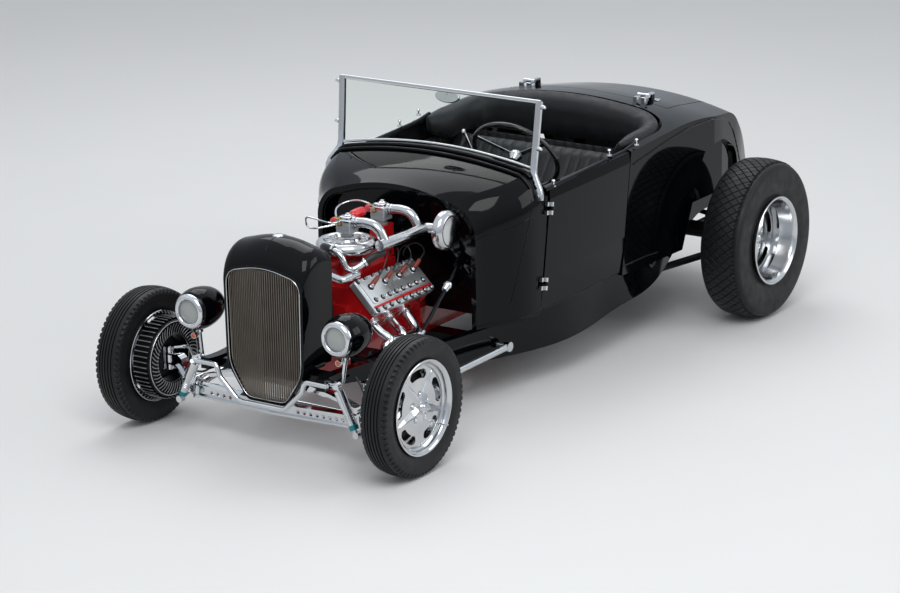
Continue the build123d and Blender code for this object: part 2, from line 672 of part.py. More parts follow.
# y, half width at the shoulder, top
SHELL_STATIONS = (
    (SHELL_Y[0], 205, 822),
    (SHELL_Y[0] + 26, 214, 876),
    (SHELL_Y[0] + 84, 219, 916),
    (SHELL_Y[1], 217, 896),
)


def make_grille_shell():
    """The painted shell: its crown rolls forward to a thin lip round the grille."""
    outer = loft([section_plane(y) * shell_outline(half, top) for y, half, top in SHELL_STATIONS])
    inner = loft([section_plane(y) * shell_outline(half, top, -SHELL_WALL - 5)
                  for y, half, top in SHELL_STATIONS[1:]])
    rear = extrude(section_plane(SHELL_Y[1] + 5) * shell_outline(217, 896, -SHELL_WALL - 5), 10)
    mouth = extrude(section_plane(SHELL_Y[0] + 40) * shell_outline(205, 816, -14), 60)
    notch = block((-300, 300), (SHELL_Y[0] + 28, SHELL_Y[1] + 20), (190, 372))
    return outer - inner - mouth - rear - notch


BAR_PITCH = 10.4
BAR_W = 3.4
BARS = 17
VEE = 26.0


def make_grille_insert():
    """Thin upright bars in a shallow vee, with a spine and two ties behind them."""
    frame = shell_outline(205, 816, -14 - SEAT)
    ring = extrude(section_plane(SHELL_Y[0] + 24) * (frame - offset(frame, -5)), 12)
    ties = []
    bars = []
    for side in (-1, 1):
        for number in range(1, BARS + 1):
            x = side * number * BAR_PITCH
            y = SHELL_Y[0] + 16 - VEE * (1 - abs(x) / (BAR_PITCH * BARS))
            bars.append(Pos(x, y, 510) * Box(BAR_W, 10, 640))
        for z in (372, 620):
            start = (0, SHELL_Y[0] + 20 - VEE, z)
            ties.append(rod(start, (side * 192, SHELL_Y[0] + 22, z), 3.2))
    spine = Pos(0, SHELL_Y[0] + 12 - VEE, 510) * Box(9, 14, 640)
    field = extrude(section_plane(SHELL_Y[0] + 40) * (shell_outline(205, 816, -16)), 80)
    grid = spine + bars + ties
    return (grid & field) + ring


def make_radiator():
    """The core between its two tanks, standing in the shell behind the crossmember."""
    core = block((-176, 176), (-1296, -1240), (350, 742))
    top = block((-146, 146), (-1299, -1237), (742, 812))
    bottom = block((-140, 140), (-1299, -1237), (312, 350))
    foot = block((-120, 120), (FRONT_AXLE_Y + 42 + SEAT, -1250), (318, 344))
    return core + top + bottom + foot + rod((-60, -1240, 780), (-60, -1196, 780), 21)


# The lamps

LAMP = Vector(382, -1448, 551)
LAMP_LENGTH = 232.0


def make_headlight():
    """A bullet bucket with its rim seat at the front."""
    profile = Spline((0, -LAMP_LENGTH + 8), (42, -LAMP_LENGTH + 34), (86, -118), (91, -70), (74, -16),
                     tangents=[(1, 0), (-0.35, 1)])
    face = make_face(Curve() + [profile, Line((74, -16), (64, -16)), Line((64, -16), (64, -40)),
                                Line((64, -40), (0, -40)), Line((0, -40), (0, -LAMP_LENGTH + 8))])
    bucket = revolve(Plane.XZ * face, Axis.Z)
    return Pos(*LAMP) * Rot(90, 0, 0) * bucket


def make_headlight_rim():
    """The polished rim round the lens."""
    profile = [(50, -6), (56, 3), (66, 2), (74, -6), (76, -15.7), (64.4, -15.7), (52, -12)]
    rim = revolve(Plane.XZ * make_face(Polyline(*profile, close=True)), Axis.Z)
    return Pos(*LAMP) * Rot(90, 0, 0) * rim


def make_headlight_lens():
    """The domed lens that closes the bucket."""
    profile = make_face(Curve() + [ThreePointArc((0, -2), (30, -5), (51, -12.4)), Line((51, -12.4), (63, -16.4)),
                                   Line((63, -16.4), (63, -22)), Line((63, -22), (0, -14)),
                                   Line((0, -14), (0, -2))])
    return Pos(*LAMP) * Rot(90, 0, 0) * revolve(Plane.XZ * profile, Axis.Z)


def make_headlight_stand(frame):
    """The chrome strut from the frame horn to the pad under the lamp."""
    pad_z = LAMP.Z - 92 - SEAT - 5
    strut = pipe([(rail_at(-1380, 1) - 20, -1380, 338), (366, -1380, 344), (LAMP.X, -1374, pad_z)], 9, 14)
    pad = Pos(LAMP.X, -1374, pad_z) * Cylinder(17, 10)
    return (strut - frame) + pad


def make_signal_lamp():
    """The small amber lamp on the strut under each headlight."""
    return Pos(LAMP.X - 6, -1412, LAMP.Z - 108) * Rot(90, 0, 0) * Cylinder(13, 34)


# The body

# y, half width, z where the side ends, crown corner (x, z), crown top
COWL_STATIONS = (
    (COWL_FRONT_Y, 420, 744, 300, 886, 938),
    (-390, 462, 770, 356, 920, 966),
    (-310, 522, 800, 426, 944, 992),
    (-210, 557, 826, 474, 968, 1016),
    (COWL_REAR_Y, 566, 846, 490, 984, 1038),
)
BODY_FOOT = ((COWL_FRONT_Y, 337.0), (-150, 356.0), (350, 376.0), (900, 392.0))


def foot_at(y):
    """The height of the body's bottom edge above the ground."""
    for (y0, z0), (y1, z1) in zip(BODY_FOOT, BODY_FOOT[1:]):
        if y <= y1:
            return z0 + (z1 - z0) * (y - y0) / (y1 - y0)
    return BODY_FOOT[-1][1]


def cowl_section(station, inset):
    """One arch across the cowl, drawn in by inset on every side but the foot."""
    y, half, side_z, corner_x, corner_z, top = station
    foot = foot_at(y) - (40 if inset else 0)
    a, b, c = (half - inset, foot), (half - inset, side_z), (corner_x - 0.5 * inset, corner_z - inset)
    shoulder = TangentArc(b, c, tangent=(0, 1))
    crown = ThreePointArc(c, (0, top - inset), (-c[0], c[1]))
    other = ThreePointArc((-c[0], c[1]), mirror(shoulder, about=Plane.YZ) @ 0.5, (-b[0], b[1]))
    edges = [Line(a, b), shoulder, crown, other, Line((-b[0], b[1]), (-a[0], a[1])), Line((-a[0], a[1]), a)]
    return section_plane(y) * make_face(Curve() + edges)


def make_cowl():
    """The scuttle: from the open front arch back to the door pillars."""
    outer = loft([cowl_section(station, 0) for station in COWL_STATIONS])
    inner = loft([cowl_section(station, BODY_WALL) for station in COWL_STATIONS])
    front = extrude(cowl_section(COWL_STATIONS[0], BODY_WALL), 20)
    back = extrude(cowl_section(COWL_STATIONS[-1], BODY_WALL), -20)
    pillar = extrude(cowl_section(COWL_STATIONS[-1], 0), -60)
    pillar -= extrude(cowl_section(COWL_STATIONS[-1], BODY_WALL + 22), -70)
    cowl = outer - inner - front - back + (pillar - block((-700, 700), (-200, 0), (880, 1200)))
    slot = side_prism(door_outline(GAP), 3, (300, 700))
    return cowl - slot - mirrored(slot)


def door_edge(end, z):
    """Where the leaning front (0) or rear (1) edge of the door lies at a height."""
    (foot_y, foot_z), (head_y, head_z) = DOOR_FOOT[end], DOOR_HEAD[end]
    return foot_y + (head_y - foot_y) * (z - foot_z) / (head_z - foot_z)


def door_outline(grow):
    """The door's outline in (y, z), run past its foot and head, grown by a gap."""
    low, high = 300, 1100
    return [(door_edge(0, low) - grow, low), (door_edge(0, high) - grow, high),
            (door_edge(1, high) + grow, high), (door_edge(1, low) + grow, low)]


def rear_profile(x, inset):
    """One fore-and-aft profile of the rear body: low at the sides, crowned between."""
    crown = 1 - (x / 600) ** 2
    top = [(380, 930 + 126 * crown), (1130, 976 + 74 * crown), (1560 + 66 * crown, 912 + 62 * crown),
           (1740 + 130 * crown, 716 + 44 * crown), (1886 + 92 * crown, 350)]
    points = [(380, 380 - 2 * inset), *[(y - (inset if y > 1600 else 0), z - (inset if z > 400 else 3 * inset))
                                        for y, z in top]]
    radii = [0, 0, 1800, 240, 620, 0]
    outline = FilletPolyline(*points, radius=radii, close=True)
    return Plane(origin=(x, 0, 0), x_dir=(0, 1, 0), z_dir=(1, 0, 0)) * make_face(outline)


def rear_plan(inset):
    """The rear body's outline from above."""
    points = [(598, 380), (610, 900), (604, 1320), (548, 1660), (440, TAIL_Y + 4)]
    points = [(x - inset, y - (inset if y > 1900 else 0)) for x, y in points]
    points += [(-x, y) for x, y in reversed(points)]
    radii = [0, 1500, 1500, 900, 150, 150, 900, 1500, 1500, 0]
    return make_face(FilletPolyline(*points, radius=radii, close=True))


def rear_form(inset):
    """The rear body as a filled form, drawn in by inset."""
    body = loft([rear_profile(x, inset) for x in (-600, 0, 600)])
    plan = extrude(Plane(origin=(0, 0, 200)) * rear_plan(inset), 1000)
    return body & plan


BOOT_Z = 562.0
ARCH = ((960, 240), (1190, 740), (1246, 815), (1440, 815), (1610, 730), (1760, 240))
LID_Y = (1152.0, 1800.0)
LID_HALF = 440.0
LID_WALL = 14.0
RIM_INNER = 566.0


def cockpit_cut(inset):
    """The cockpit's opening from above, rounded at the rear corners."""
    half = RIM_INNER - inset
    points = [(half, 300), (half, 1034 - inset), (-half, 1034 - inset), (-half, 300)]
    outline = make_face(FilletPolyline(*points, radius=[0, 210, 210, 0], close=True))
    return extrude(Plane(origin=(0, 0, 560)) * outline, 700)


def lid_prism(grow):
    """The deck lid's outline from above, grown by a gap for its opening."""
    low, high = LID_Y[0] - grow, LID_Y[1] + grow
    points = [(LID_HALF + grow, low), (LID_HALF - 60 + grow, high), (60 - LID_HALF - grow, high),
              (-LID_HALF - grow, low)]
    outline = make_face(FilletPolyline(*points, radius=[14, 60, 60, 14], close=True))
    return extrude(Plane(origin=(0, 0, 600)) * outline, 600)


def make_rear_body():
    """Quarter panels, deck and tail in one shell with its openings cut."""
    shell = rear_form(0) - rear_form(BODY_WALL)
    shell -= block((-700, 700), (300, DOOR_FOOT[1][0]), (200, 1200))
    for side in (-1, 1):
        cut = side_prism(door_outline(GAP), 3, (420, 700))
        shell -= cut if side > 0 else mirrored(cut)
    shell -= cockpit_cut(0)
    shell -= lid_prism(GAP)
    shell -= side_prism(ARCH, [0, 60, 90, 120, 160, 0], (-700, 1400))
    return shell


def make_wheel_housing():
    """The closed pan behind one wheel arch, set against the quarter panel."""
    outer = [(y, z) for y, z in ARCH]
    pan = side_prism(outer, [0, 60, 90, 120, 160, 0], (HOUSING_X, 585))
    pan &= rear_form(BODY_WALL + SEAT)
    pan &= block((0, 700), (900, 2000), (BOOT_Z - FLOOR_T, 1000))
    pan -= Pos(14, 0, 0) * pan
    return pan


def make_deck_lid():
    """The lid with its own curve, cut from the same form as the deck round it."""
    return (rear_form(0) - rear_form(LID_WALL)) & lid_prism(0)


# y, x of the outer face, z of the top edge
DOOR_STATIONS = ((-180, 565, 908), (100, 586, 922), (600, 600, 944))


def make_door():
    """One door: the body's curve outside, flat inside, as thick as the whole door."""
    sections = []
    for y, outer, head in DOOR_STATIONS:
        foot = foot_at(y) + 14
        outline = Polyline((outer - DOOR_WALL, foot), (outer - 8, foot), (outer, foot + 160),
                           (outer, head - 50), (outer - 8, head), (outer - DOOR_WALL, head), close=True)
        sections.append(section_plane(y) * make_face(outline))
    door = loft(sections)
    return door & side_prism(door_outline(0), 3, (420, 700))


TUNNEL = 12.0
HOUSING_X = 540.0


def make_floor():
    """The floor pan: flat between the rails, a tunnel, a seat box, a step up to the boot."""
    low, high = FLOOR_Z - FLOOR_T, FLOOR_Z
    boot = BOOT_Z - FLOOR_T
    outline = [(FIREWALL_Y + 12, high), (900, high), (1060, BOOT_Z), (1680, BOOT_Z), (1680, boot), (1066, boot),
               (906, low), (FIREWALL_Y + 12, low)]
    pan = side_prism(outline, 0, (-HOUSING_X, HOUSING_X))
    gearbox_half = GEARBOX[0][1] + TUNNEL
    gearbox_top = GEARBOX[1][1] + TUNNEL
    spans = ((gearbox_half, (FIREWALL_Y + 12, GEARBOX_END_Y + 30), gearbox_top), (56, (0, 1000), 426))
    for half, y, top in spans:
        pan += block((-half - TUNNEL, half + TUNNEL), y, (low, top + TUNNEL))
    for half, y, top in spans:
        pan -= block((-half, half), (y[0] - 20, y[1] + 20), (low - 99, top))
    pan += block((-470, -70), SEAT_BOX_Y, (low + 4, CUSHION_Z[0] - SEAT))
    pan += block((70, 470), SEAT_BOX_Y, (low + 4, CUSHION_Z[0] - SEAT))
    plan = Polyline((-398, FIREWALL_Y), (398, FIREWALL_Y), (466, -240), (466, 1062), (HOUSING_X - SEAT, 1062),
                    (HOUSING_X - SEAT, 1800), (SEAT - HOUSING_X, 1800), (SEAT - HOUSING_X, 1062), (-466, 1062),
                    (-466, -240), close=True)
    pan &= extrude(Plane(origin=(0, 0, 300)) * make_face(plan), 400)
    return pan - (rear_form(0) - rear_form(BODY_WALL + SEAT))


FIREWALL_Y = COWL_FRONT_Y + 66
SEAT_BOX_Y = (190.0, 610.0)
CUSHION_Z = (466.0, 596.0)


def make_firewall():
    """The recessed firewall inside the cowl's arch, notched round the gearbox."""
    station = (FIREWALL_Y, 446, 760, 334, 906, 956)
    wall = extrude(cowl_section(station, BODY_WALL + 4), 8)
    wall -= block((-700, 700), (-600, 0), (200, FLOOR_Z - FLOOR_T))
    half = GEARBOX[0][1] + 16
    wall -= block((-half, half), (-600, 0), (200, GEARBOX[1][1] + 16))
    return wall - rod(COLUMN_FOOT, COLUMN_HEAD, COLUMN_R + 3)


# The windscreen

SCREEN_TOP = Vector(526, -102, 1288)
SCREEN_FOOT = Vector(500, -138, 1004)
SCREEN_CROWN_Z = 1052.0
SCREEN_BAR_R = 9.0
POST_FOOT = Vector(582, -152, 890)
POST_HEAD = Vector(550, -106, 1286)


def screen_plane():
    """The glass's own leaning plane: local x across the car, local y up the glass."""
    lean = (SCREEN_TOP - SCREEN_FOOT)
    up = Vector(0, lean.Y, lean.Z).normalized()
    return Plane(origin=(0, SCREEN_FOOT.Y, SCREEN_FOOT.Z), x_dir=(1, 0, 0), z_dir=Vector(1, 0, 0).cross(up))


def screen_outline(inset):
    """The glass's outline in its plane: straight top and sides, a bowed foot."""
    lean = SCREEN_TOP - SCREEN_FOOT
    height = Vector(0, lean.Y, lean.Z).length
    bow = SCREEN_CROWN_Z - SCREEN_FOOT.Z
    top, foot = SCREEN_TOP.X - inset, SCREEN_FOOT.X - inset
    edges = [Line((foot, inset), (top, height - inset)), Line((top, height - inset), (-top, height - inset)),
             Line((-top, height - inset), (-foot, inset)), ThreePointArc((-foot, inset), (0, bow + inset), (foot, inset))]
    return make_face(Curve() + edges)


def make_screen_frame():
    """The chrome frame, its two posts on the cowl's corners, and the oval mirror."""
    plane = screen_plane()
    ring = screen_outline(-SCREEN_BAR_R) - screen_outline(SCREEN_BAR_R - 2)
    frame = extrude(plane * ring, SCREEN_BAR_R - 1, both=True)
    frame -= extrude(plane * screen_outline(0), GLASS_T / 2 + 0.2, both=True)
    posts = None
    for side in (-1, 1):
        foot = Vector(side * POST_FOOT.X, POST_FOOT.Y, POST_FOOT.Z)
        head = Vector(side * POST_HEAD.X, POST_HEAD.Y, POST_HEAD.Z)
        post = rod(foot, head, 10) + Pos(*head) * Sphere(15)
        for low, high in ((0.36, 0.12), (0.99, 0.98)):
            point = foot + (head - foot) * low
            edge = SCREEN_FOOT + (SCREEN_TOP - SCREEN_FOOT) * high
            post += rod(point, (side * edge.X, edge.Y, edge.Z), 7)
        posts = post if posts is None else posts + post
    plate = make_post_bracket()
    return frame + posts + plate + mirrored(plate)


GLASS_T = 6.0


def make_screen_glass():
    return extrude(screen_plane() * screen_outline(0.6), GLASS_T / 2, both=True)


def make_post_bracket():
    """The chrome shield that carries one post on the cowl's rear corner."""
    points = [(-205, 872), (-118, 866), (-112, 905), (-136, 985), (-160, 985), (-176, 910)]
    plate = side_prism(points, 8, (566 + SEAT, 574))
    return plate + rod((570, POST_FOOT.Y, 900), (POST_FOOT.X, POST_FOOT.Y, 900), 9)


def make_mirror():
    """The oval mirror under the top bar, on its short stem."""
    disc = Plane.XZ * Ellipse(64, 29)
    mirror_body = extrude(disc, 9, both=True)
    mirror_body = fillet(mirror_body.edges(), 6)
    stem = rod((0, -8, 8), (0, -14, 32), 5)
    return Pos(24, SCREEN_TOP.Y + 32, SCREEN_TOP.Z - 34) * (mirror_body + stem)


# Inside the cockpit

SEAT_HALF = 532.0


def make_seat():
    """A bench: the cushion on its box and the back leaning on the rear rim."""
    cushion = block((-SEAT_HALF, SEAT_HALF), (150, 640), CUSHION_Z)
    cushion = fillet(cushion.edges().filter_by(Axis.X), 34)
    low, high = CUSHION_Z[1] + SEAT, ROLL_FOOT_Z - 4
    back = side_prism([(590, low), (704, low), (880, high), (766, high)], [4, 4, 30, 46], (-SEAT_HALF, SEAT_HALF))
    return Compound(children=[cushion, back])


ROLL_DEPTH = 104.0
ROLL_FOOT_Z = 842.0


def make_cockpit_roll():
    """The padded roll round the back of the cockpit, inside the body's rim."""
    band = cockpit_cut(SEAT) - cockpit_cut(ROLL_DEPTH)
    crown = Pos(0, 0, 26) * rear_form(0)
    roll = band & crown
    return roll - block((-700, 700), (200, 610), (200, 1300)) - block((-700, 700), (200, 1300), (200, ROLL_FOOT_Z))


def make_dashboard():
    """The instrument panel under the cowl's rear edge, with its round dials."""
    y, half, side_z, corner_x, corner_z, top = COWL_STATIONS[-1]
    panel = extrude(cowl_section((y - 30, half - 8, side_z, corner_x - 6, corner_z - 8, top - 8), BODY_WALL + 8), 8)
    panel -= block((-700, 700), (-300, 0), (200, 806))
    for x in (-110, 0, 110):
        panel += Pos(x, y - 26, 900) * Rot(90, 0, 0) * Cylinder(40, 12)
    return panel - rod(COLUMN_HEAD, COLUMN_FOOT, COLUMN_R + 3)


COLUMN_HEAD = Vector(272, 74, 958)
COLUMN_FOOT = Vector(328, -540, 548)
COLUMN_R = 21.0
SHAFT_END = Vector(300, -1004, 320)
STEERING_BOX = ((214, 296), (-1112, -1018), (282, 372))


def column_axis():
    return (COLUMN_HEAD - COLUMN_FOOT).normalized()


def make_steering_column():
    """The column, its joint, the bare shaft to the steering box, and the box."""
    axis = column_axis()
    column = rod(COLUMN_FOOT + axis * 110, COLUMN_HEAD, COLUMN_R)
    column += rod(COLUMN_FOOT, COLUMN_FOOT + axis * 110, 10)
    column += Pos(*COLUMN_FOOT) * Sphere(18)
    middle = Vector(332, -770, 378)
    column += rod(COLUMN_FOOT, middle, 9) + Pos(*middle) * Sphere(17)
    column += rod(middle, SHAFT_END, 9)
    x, y, z = STEERING_BOX
    column += block(x, (y[0], SHAFT_END.Y + 12), z)
    column += rod((PITMAN.X, PITMAN.Y, z[0] + 2), (PITMAN.X, PITMAN.Y, PITMAN.Z + 9 + SEAT), 13)
    return column


WHEEL_R = 208.0
WHEEL_GRIP_R = 11.0


def wheel_plane():
    """The steering wheel's plane: its origin on the column's head."""
    return Plane(origin=COLUMN_HEAD + column_axis() * (SEAT + 34), x_dir=(1, 0, 0), z_dir=column_axis())


def make_steering_wheel():
    """A round rim with four sprung spokes and a plain boss."""
    wheel = Torus(WHEEL_R, WHEEL_GRIP_R)
    for turn in (45, 135, 225, 315):
        spoke = rod((20, 0, -14), (WHEEL_R - 4, 0, 0), 5)
        wheel += Rot(0, 0, turn) * spoke
    wheel += Pos(0, 0, -14) * Cylinder(34, 30)
    return wheel_plane().location * (wheel + Pos(0, 0, -31) * Cylinder(18, 6))


def make_gear_lever():
    """The floor change lever: boot plate, bent stick and round knob."""
    base_z = GEARBOX[1][1] + 2 * TUNNEL + SEAT
    stick = pipe([(0, 10, base_z + 4), (10, 60, 760), (34, 44, 930), (24, -8, 1062)], 6.5, [90, 60])
    return stick + Pos(24, -8, 1066) * Sphere(20) + Pos(0, 10, base_z + 13) * Cone(56, 22, 26)


# Hinges, latches and lamps

HINGE_Z = (493.0, 825.0)
HINGE_TALL = 56.0
HINGE_R = 8.0
HINGE_HEAD = Vector(585.5, door_edge(0, HINGE_Z[1]) - GAP / 2, HINGE_Z[1])
HINGE_FOOT = Vector(582, door_edge(0, HINGE_Z[0]) - GAP / 2, HINGE_Z[0])


def hinge_frames():
    """A plane at each door hinge, its local z along the leaning pin."""
    axis = (HINGE_HEAD - HINGE_FOOT).normalized()
    return [Plane(origin=point, x_dir=(1, 0, 0), z_dir=axis) for point in (HINGE_FOOT, HINGE_HEAD)]


def make_pillar_hinges():
    """The pillar's half of each door hinge: upper and lower knuckles, pin and leaf."""
    halves = []
    for plane in hinge_frames():
        half = None
        for level in (-1, 1):
            knuckle = Pos(0, 0, level * HINGE_TALL / 3) * Cylinder(HINGE_R, HINGE_TALL / 3 - SEAT)
            half = knuckle if half is None else half + knuckle
        half += Cylinder(HINGE_R / 2, HINGE_TALL)
        half += block((-17.6, -4), (-30, -3), (-HINGE_TALL / 2, -HINGE_TALL / 6 - SEAT))
        half += block((-17.6, -4), (-30, -3), (HINGE_TALL / 6 + SEAT, HINGE_TALL / 2))
        halves.append(plane.location * half)
    return halves


def make_door_hinges():
    """The door's half of each hinge: the middle knuckle and its leaf."""
    halves = []
    for plane in hinge_frames():
        tall = HINGE_TALL / 3 - 2 * SEAT
        half = Cylinder(HINGE_R, tall) + block((-10.7, -4), (3, 34), (-tall / 2, tall / 2))
        half -= Cylinder(HINGE_R / 2 + RUNNING, 2 * HINGE_TALL)
        halves.append(plane.location * half)
    return halves


LID_HINGE_X = 318.0
LID_PIN = Vector(0, 1140, 1054)


def make_lid_hinges(on_lid):
    """One half of both deck-lid hinges, its foot cut to the body's curve."""
    form = Pos(0, 0, SEAT) * rear_form(0)
    halves = []
    for side in (-1, 1):
        place = Pos(side * LID_HINGE_X, LID_PIN.Y, LID_PIN.Z)
        along = Rot(0, 90, 0)
        if on_lid:
            half = along * Cylinder(9, 20) + block((-9, 9), (0, 86), (-8, -2))
            half += block((-9, 9), (60, 86), (-60, -2))
            half -= along * Cylinder(4 + RUNNING, 80)
        else:
            half = along * Cylinder(4, 62)
            for level in (-1, 1):
                half += Pos(level * 21, 0, 0) * along * Cylinder(9, 20)
                half += block((level * 21 - 10, level * 21 + 10), (-46, 0), (-9, -3))
                half += block((level * 21 - 10, level * 21 + 10), (-46, -30), (-60, -3))
        halves.append(place * half - form)
    return halves


def make_tail_lamps():
    """A round tail lamp low on each side of the tail, cut to its curve."""
    lamp = Pos(330, TAIL_Y - 45, 470) * Rot(90, 0, 0) * Cylinder(38, 84)
    return lamp - Pos(0, SEAT, 0) * rear_form(0)


def make_coolant_pipes():
    """The bent chrome pipes from the radiator's necks to the heads."""
    return pipe([(-60, -1196 + SEAT, 780), (-60, -1150, 780), (70, -1090, 700), (124, -1040, 664),
                 (130, -930, 664)], 17, [20, 40, 30])


PARTS = {}


def export(name, shape):
    """Writes one named piece, moved to the car's own origin."""
    PARTS[name] = PLACE * shape
    export_step(PARTS[name], f"parts/{name}.step")


def gather(*groups):
    """Several pieces as one node's separate solids."""
    return Compound(children=[solid for group in groups for shape in group for solid in shape.solids()])


def main():
    os.makedirs("parts", exist_ok=True)
    rails = make_rails()
    members = make_crossmembers(rails)
    frame = rails[0] + [rails[1], *members]
    export("frame_rails", gather(rails))
    export("crossmembers", gather(members))
    export("spreader_bar", make_spreader())
    export("front_axle", make_front_axle())
    export("leaf_springs", gather([make_front_spring(), make_rear_spring()]))
    export("front_radius_rods", both(make_radius_rod(frame)))
    export("front_shocks", both(make_shock(frame)))
    export("rear_axle", make_rear_axle())
    export("rear_radius_rods", both(make_rear_radius_rod(frame)))
    export("engine_block", make_engine())
    export("cylinder_heads", gather([make_head(side) for side in (1, -1)]))
    export("intake_manifold", make_intake())
    export("blower", make_blower())
    export("carburettors", gather([make_carburettor(y) for y in CARB_Y], [make_linkage()]))
    export("intake_tubes", make_intake_tubes())
    export("air_cleaner", make_air_cleaner())
    export("exhaust_pipes", both(make_exhaust()))
    export("coolant_pipe", make_coolant_pipes())
    export("belt_drive", make_belt_drive())
    export("grille_shell", make_grille_shell())
    export("grille_insert", make_grille_insert())
    export("radiator", make_radiator())
    export("headlight_buckets", both(make_headlight()))
    export("headlight_rims", both(make_headlight_rim()))
    export("headlight_lenses", both(make_headlight_lens()))
    export("headlight_stands", both(make_headlight_stand(frame)))
    export("small_lamps", gather([both(make_signal_lamp()), both(make_tail_lamps())]))
    export("cowl", make_cowl())
    export("firewall", make_firewall())
    export("dashboard", make_dashboard())
    export("rear_body", gather([make_rear_body(), both(make_wheel_housing())]))
    export("floor", make_floor())
    export("seat", make_seat())
    export("cockpit_roll", make_cockpit_roll())
    export("windscreen_frame", make_screen_frame())
    export("windscreen_glass", make_screen_glass())
    export("mirror", make_mirror())
    export("steering_column", make_steering_column())
    export("steering_wheel", make_steering_wheel())
    export("gear_lever", make_gear_lever())
    export("body_hinges", gather(make_pillar_hinges(), [mirrored(half) for half in make_pillar_hinges()],
                                 make_lid_hinges(False)))
    export("deck_lid", gather([make_deck_lid()], make_lid_hinges(True)))
    export("tie_rod", make_tie_rod())
    export("drag_link", make_drag_link())
    export("pitman_arm", make_pitman_arm())
    for side, name in ((1, "left"), (-1, "right")):
        door = gather([make_door()], make_door_hinges())
        export(f"door_{name}", door if side > 0 else gather([mirrored(piece) for piece in door.solids()]))
        export(f"knuckle_{name}", make_knuckle(side))
        front = (side, FRONT_WHEEL_X, FRONT_AXLE_Y, HUB_Z)
        rear = (side, REAR_WHEEL_X, REAR_AXLE_Y, REAR_HUB_Z)
        export(f"wheel_front_{name}", stand_wheel(make_wheel(FRONT_RIM_R, FRONT_RIM_W, FRONT_DISH), *front))
        export(f"tyre_front_{name}",
               stand_wheel(make_tyre(FRONT_TYRE_R, FRONT_TYRE_W, FRONT_RIM_R, FRONT_RIM_W, 7), *front))
        export(f"drum_front_{name}", stand_wheel(make_front_drum(), *front))
        wheel = gather([make_wheel(REAR_RIM_R, REAR_RIM_W, REAR_DISH), make_rear_drum()])
        export(f"wheel_rear_{name}", stand_wheel(wheel, *rear))
        export(f"tyre_rear_{name}",
               stand_wheel(make_tyre(REAR_TYRE_R, REAR_TYRE_W, REAR_RIM_R, REAR_RIM_W, 8), *rear))


main()
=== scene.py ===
"""The hot rod's looks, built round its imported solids, piece by piece as the car goes together."""

from math import atan2, cos, pi, radians, sin, tau

import bmesh
import bpy
from mathutils import Matrix, Vector
from mathutils.bvhtree import BVHTree


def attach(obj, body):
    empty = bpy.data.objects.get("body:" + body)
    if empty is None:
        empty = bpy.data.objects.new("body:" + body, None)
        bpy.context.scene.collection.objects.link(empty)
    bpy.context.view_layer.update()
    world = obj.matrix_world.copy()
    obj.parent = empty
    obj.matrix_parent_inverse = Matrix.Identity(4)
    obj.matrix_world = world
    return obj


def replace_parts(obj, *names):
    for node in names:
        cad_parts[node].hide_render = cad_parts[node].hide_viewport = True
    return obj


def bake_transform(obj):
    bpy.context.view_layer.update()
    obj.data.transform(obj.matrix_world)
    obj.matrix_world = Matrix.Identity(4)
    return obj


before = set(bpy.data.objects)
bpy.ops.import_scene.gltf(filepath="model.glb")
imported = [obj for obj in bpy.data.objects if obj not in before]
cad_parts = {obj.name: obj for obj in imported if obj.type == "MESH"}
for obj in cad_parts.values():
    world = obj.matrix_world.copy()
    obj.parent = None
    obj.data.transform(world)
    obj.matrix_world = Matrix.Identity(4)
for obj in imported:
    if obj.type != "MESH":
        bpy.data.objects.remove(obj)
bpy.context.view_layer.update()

# The camera
# A long lens from the car's front left, well above its windscreen. Its place and turn were
# worked out from the wheels' ellipses, so the lines of the body fall as they should.

CAMERA_PLACE = (7.4914, -11.2516, 4.2851)
YAW, PITCH, ROLL = 34.1606, 16.555, -0.9897
SENSOR_MM, LENS_MM = 36.0, 123.1
camera_data = bpy.data.cameras.new("photo_camera")
camera_data.sensor_width = SENSOR_MM
camera_data.lens = LENS_MM
camera = bpy.data.objects.new("photo_camera", camera_data)
bpy.context.scene.collection.objects.link(camera)
yaw, pitch, roll = radians(YAW), radians(PITCH), radians(ROLL)
back = Vector((sin(yaw) * cos(pitch), -cos(yaw) * cos(pitch), sin(pitch)))
side = Vector((cos(yaw), sin(yaw), 0.0))
up = back.cross(side)
camera_x = side * cos(roll) + up * sin(roll)
camera_y = up * cos(roll) - side * sin(roll)
camera_turn = Matrix((camera_x, camera_y, back)).transposed().to_4x4()
camera.matrix_world = Matrix.Translation(CAMERA_PLACE) @ camera_turn
bpy.context.scene.camera = camera
bpy.context.scene.view_settings.view_transform = "Standard"


# The studio
# A pale seamless floor, three large soft lamps and a plain bright surround. The surround shows
# full to the camera, in gloss and through glass, and is dim as a light, so that shadows stay.


def linear(text):
    """An sRGB hex colour as the linear colour that a shader takes."""
    channels = [int(text[i : i + 2], 16) / 255 for i in (1, 3, 5)]
    return (*[c / 12.92 if c <= 0.04045 else ((c + 0.055) / 1.055) ** 2.4 for c in channels], 1.0)


def add(tree, kind, inputs=None, **settings):
    """Adds one shader node with its settings, and gives its inputs a value or a link."""
    node = tree.nodes.new(kind)
    for name, value in settings.items():
        setattr(node, name, value)
    for name, value in (inputs or {}).items():
        if isinstance(value, bpy.types.NodeSocket):
            tree.links.new(value, node.inputs[name])
        else:
            node.inputs[name].default_value = value
    return node


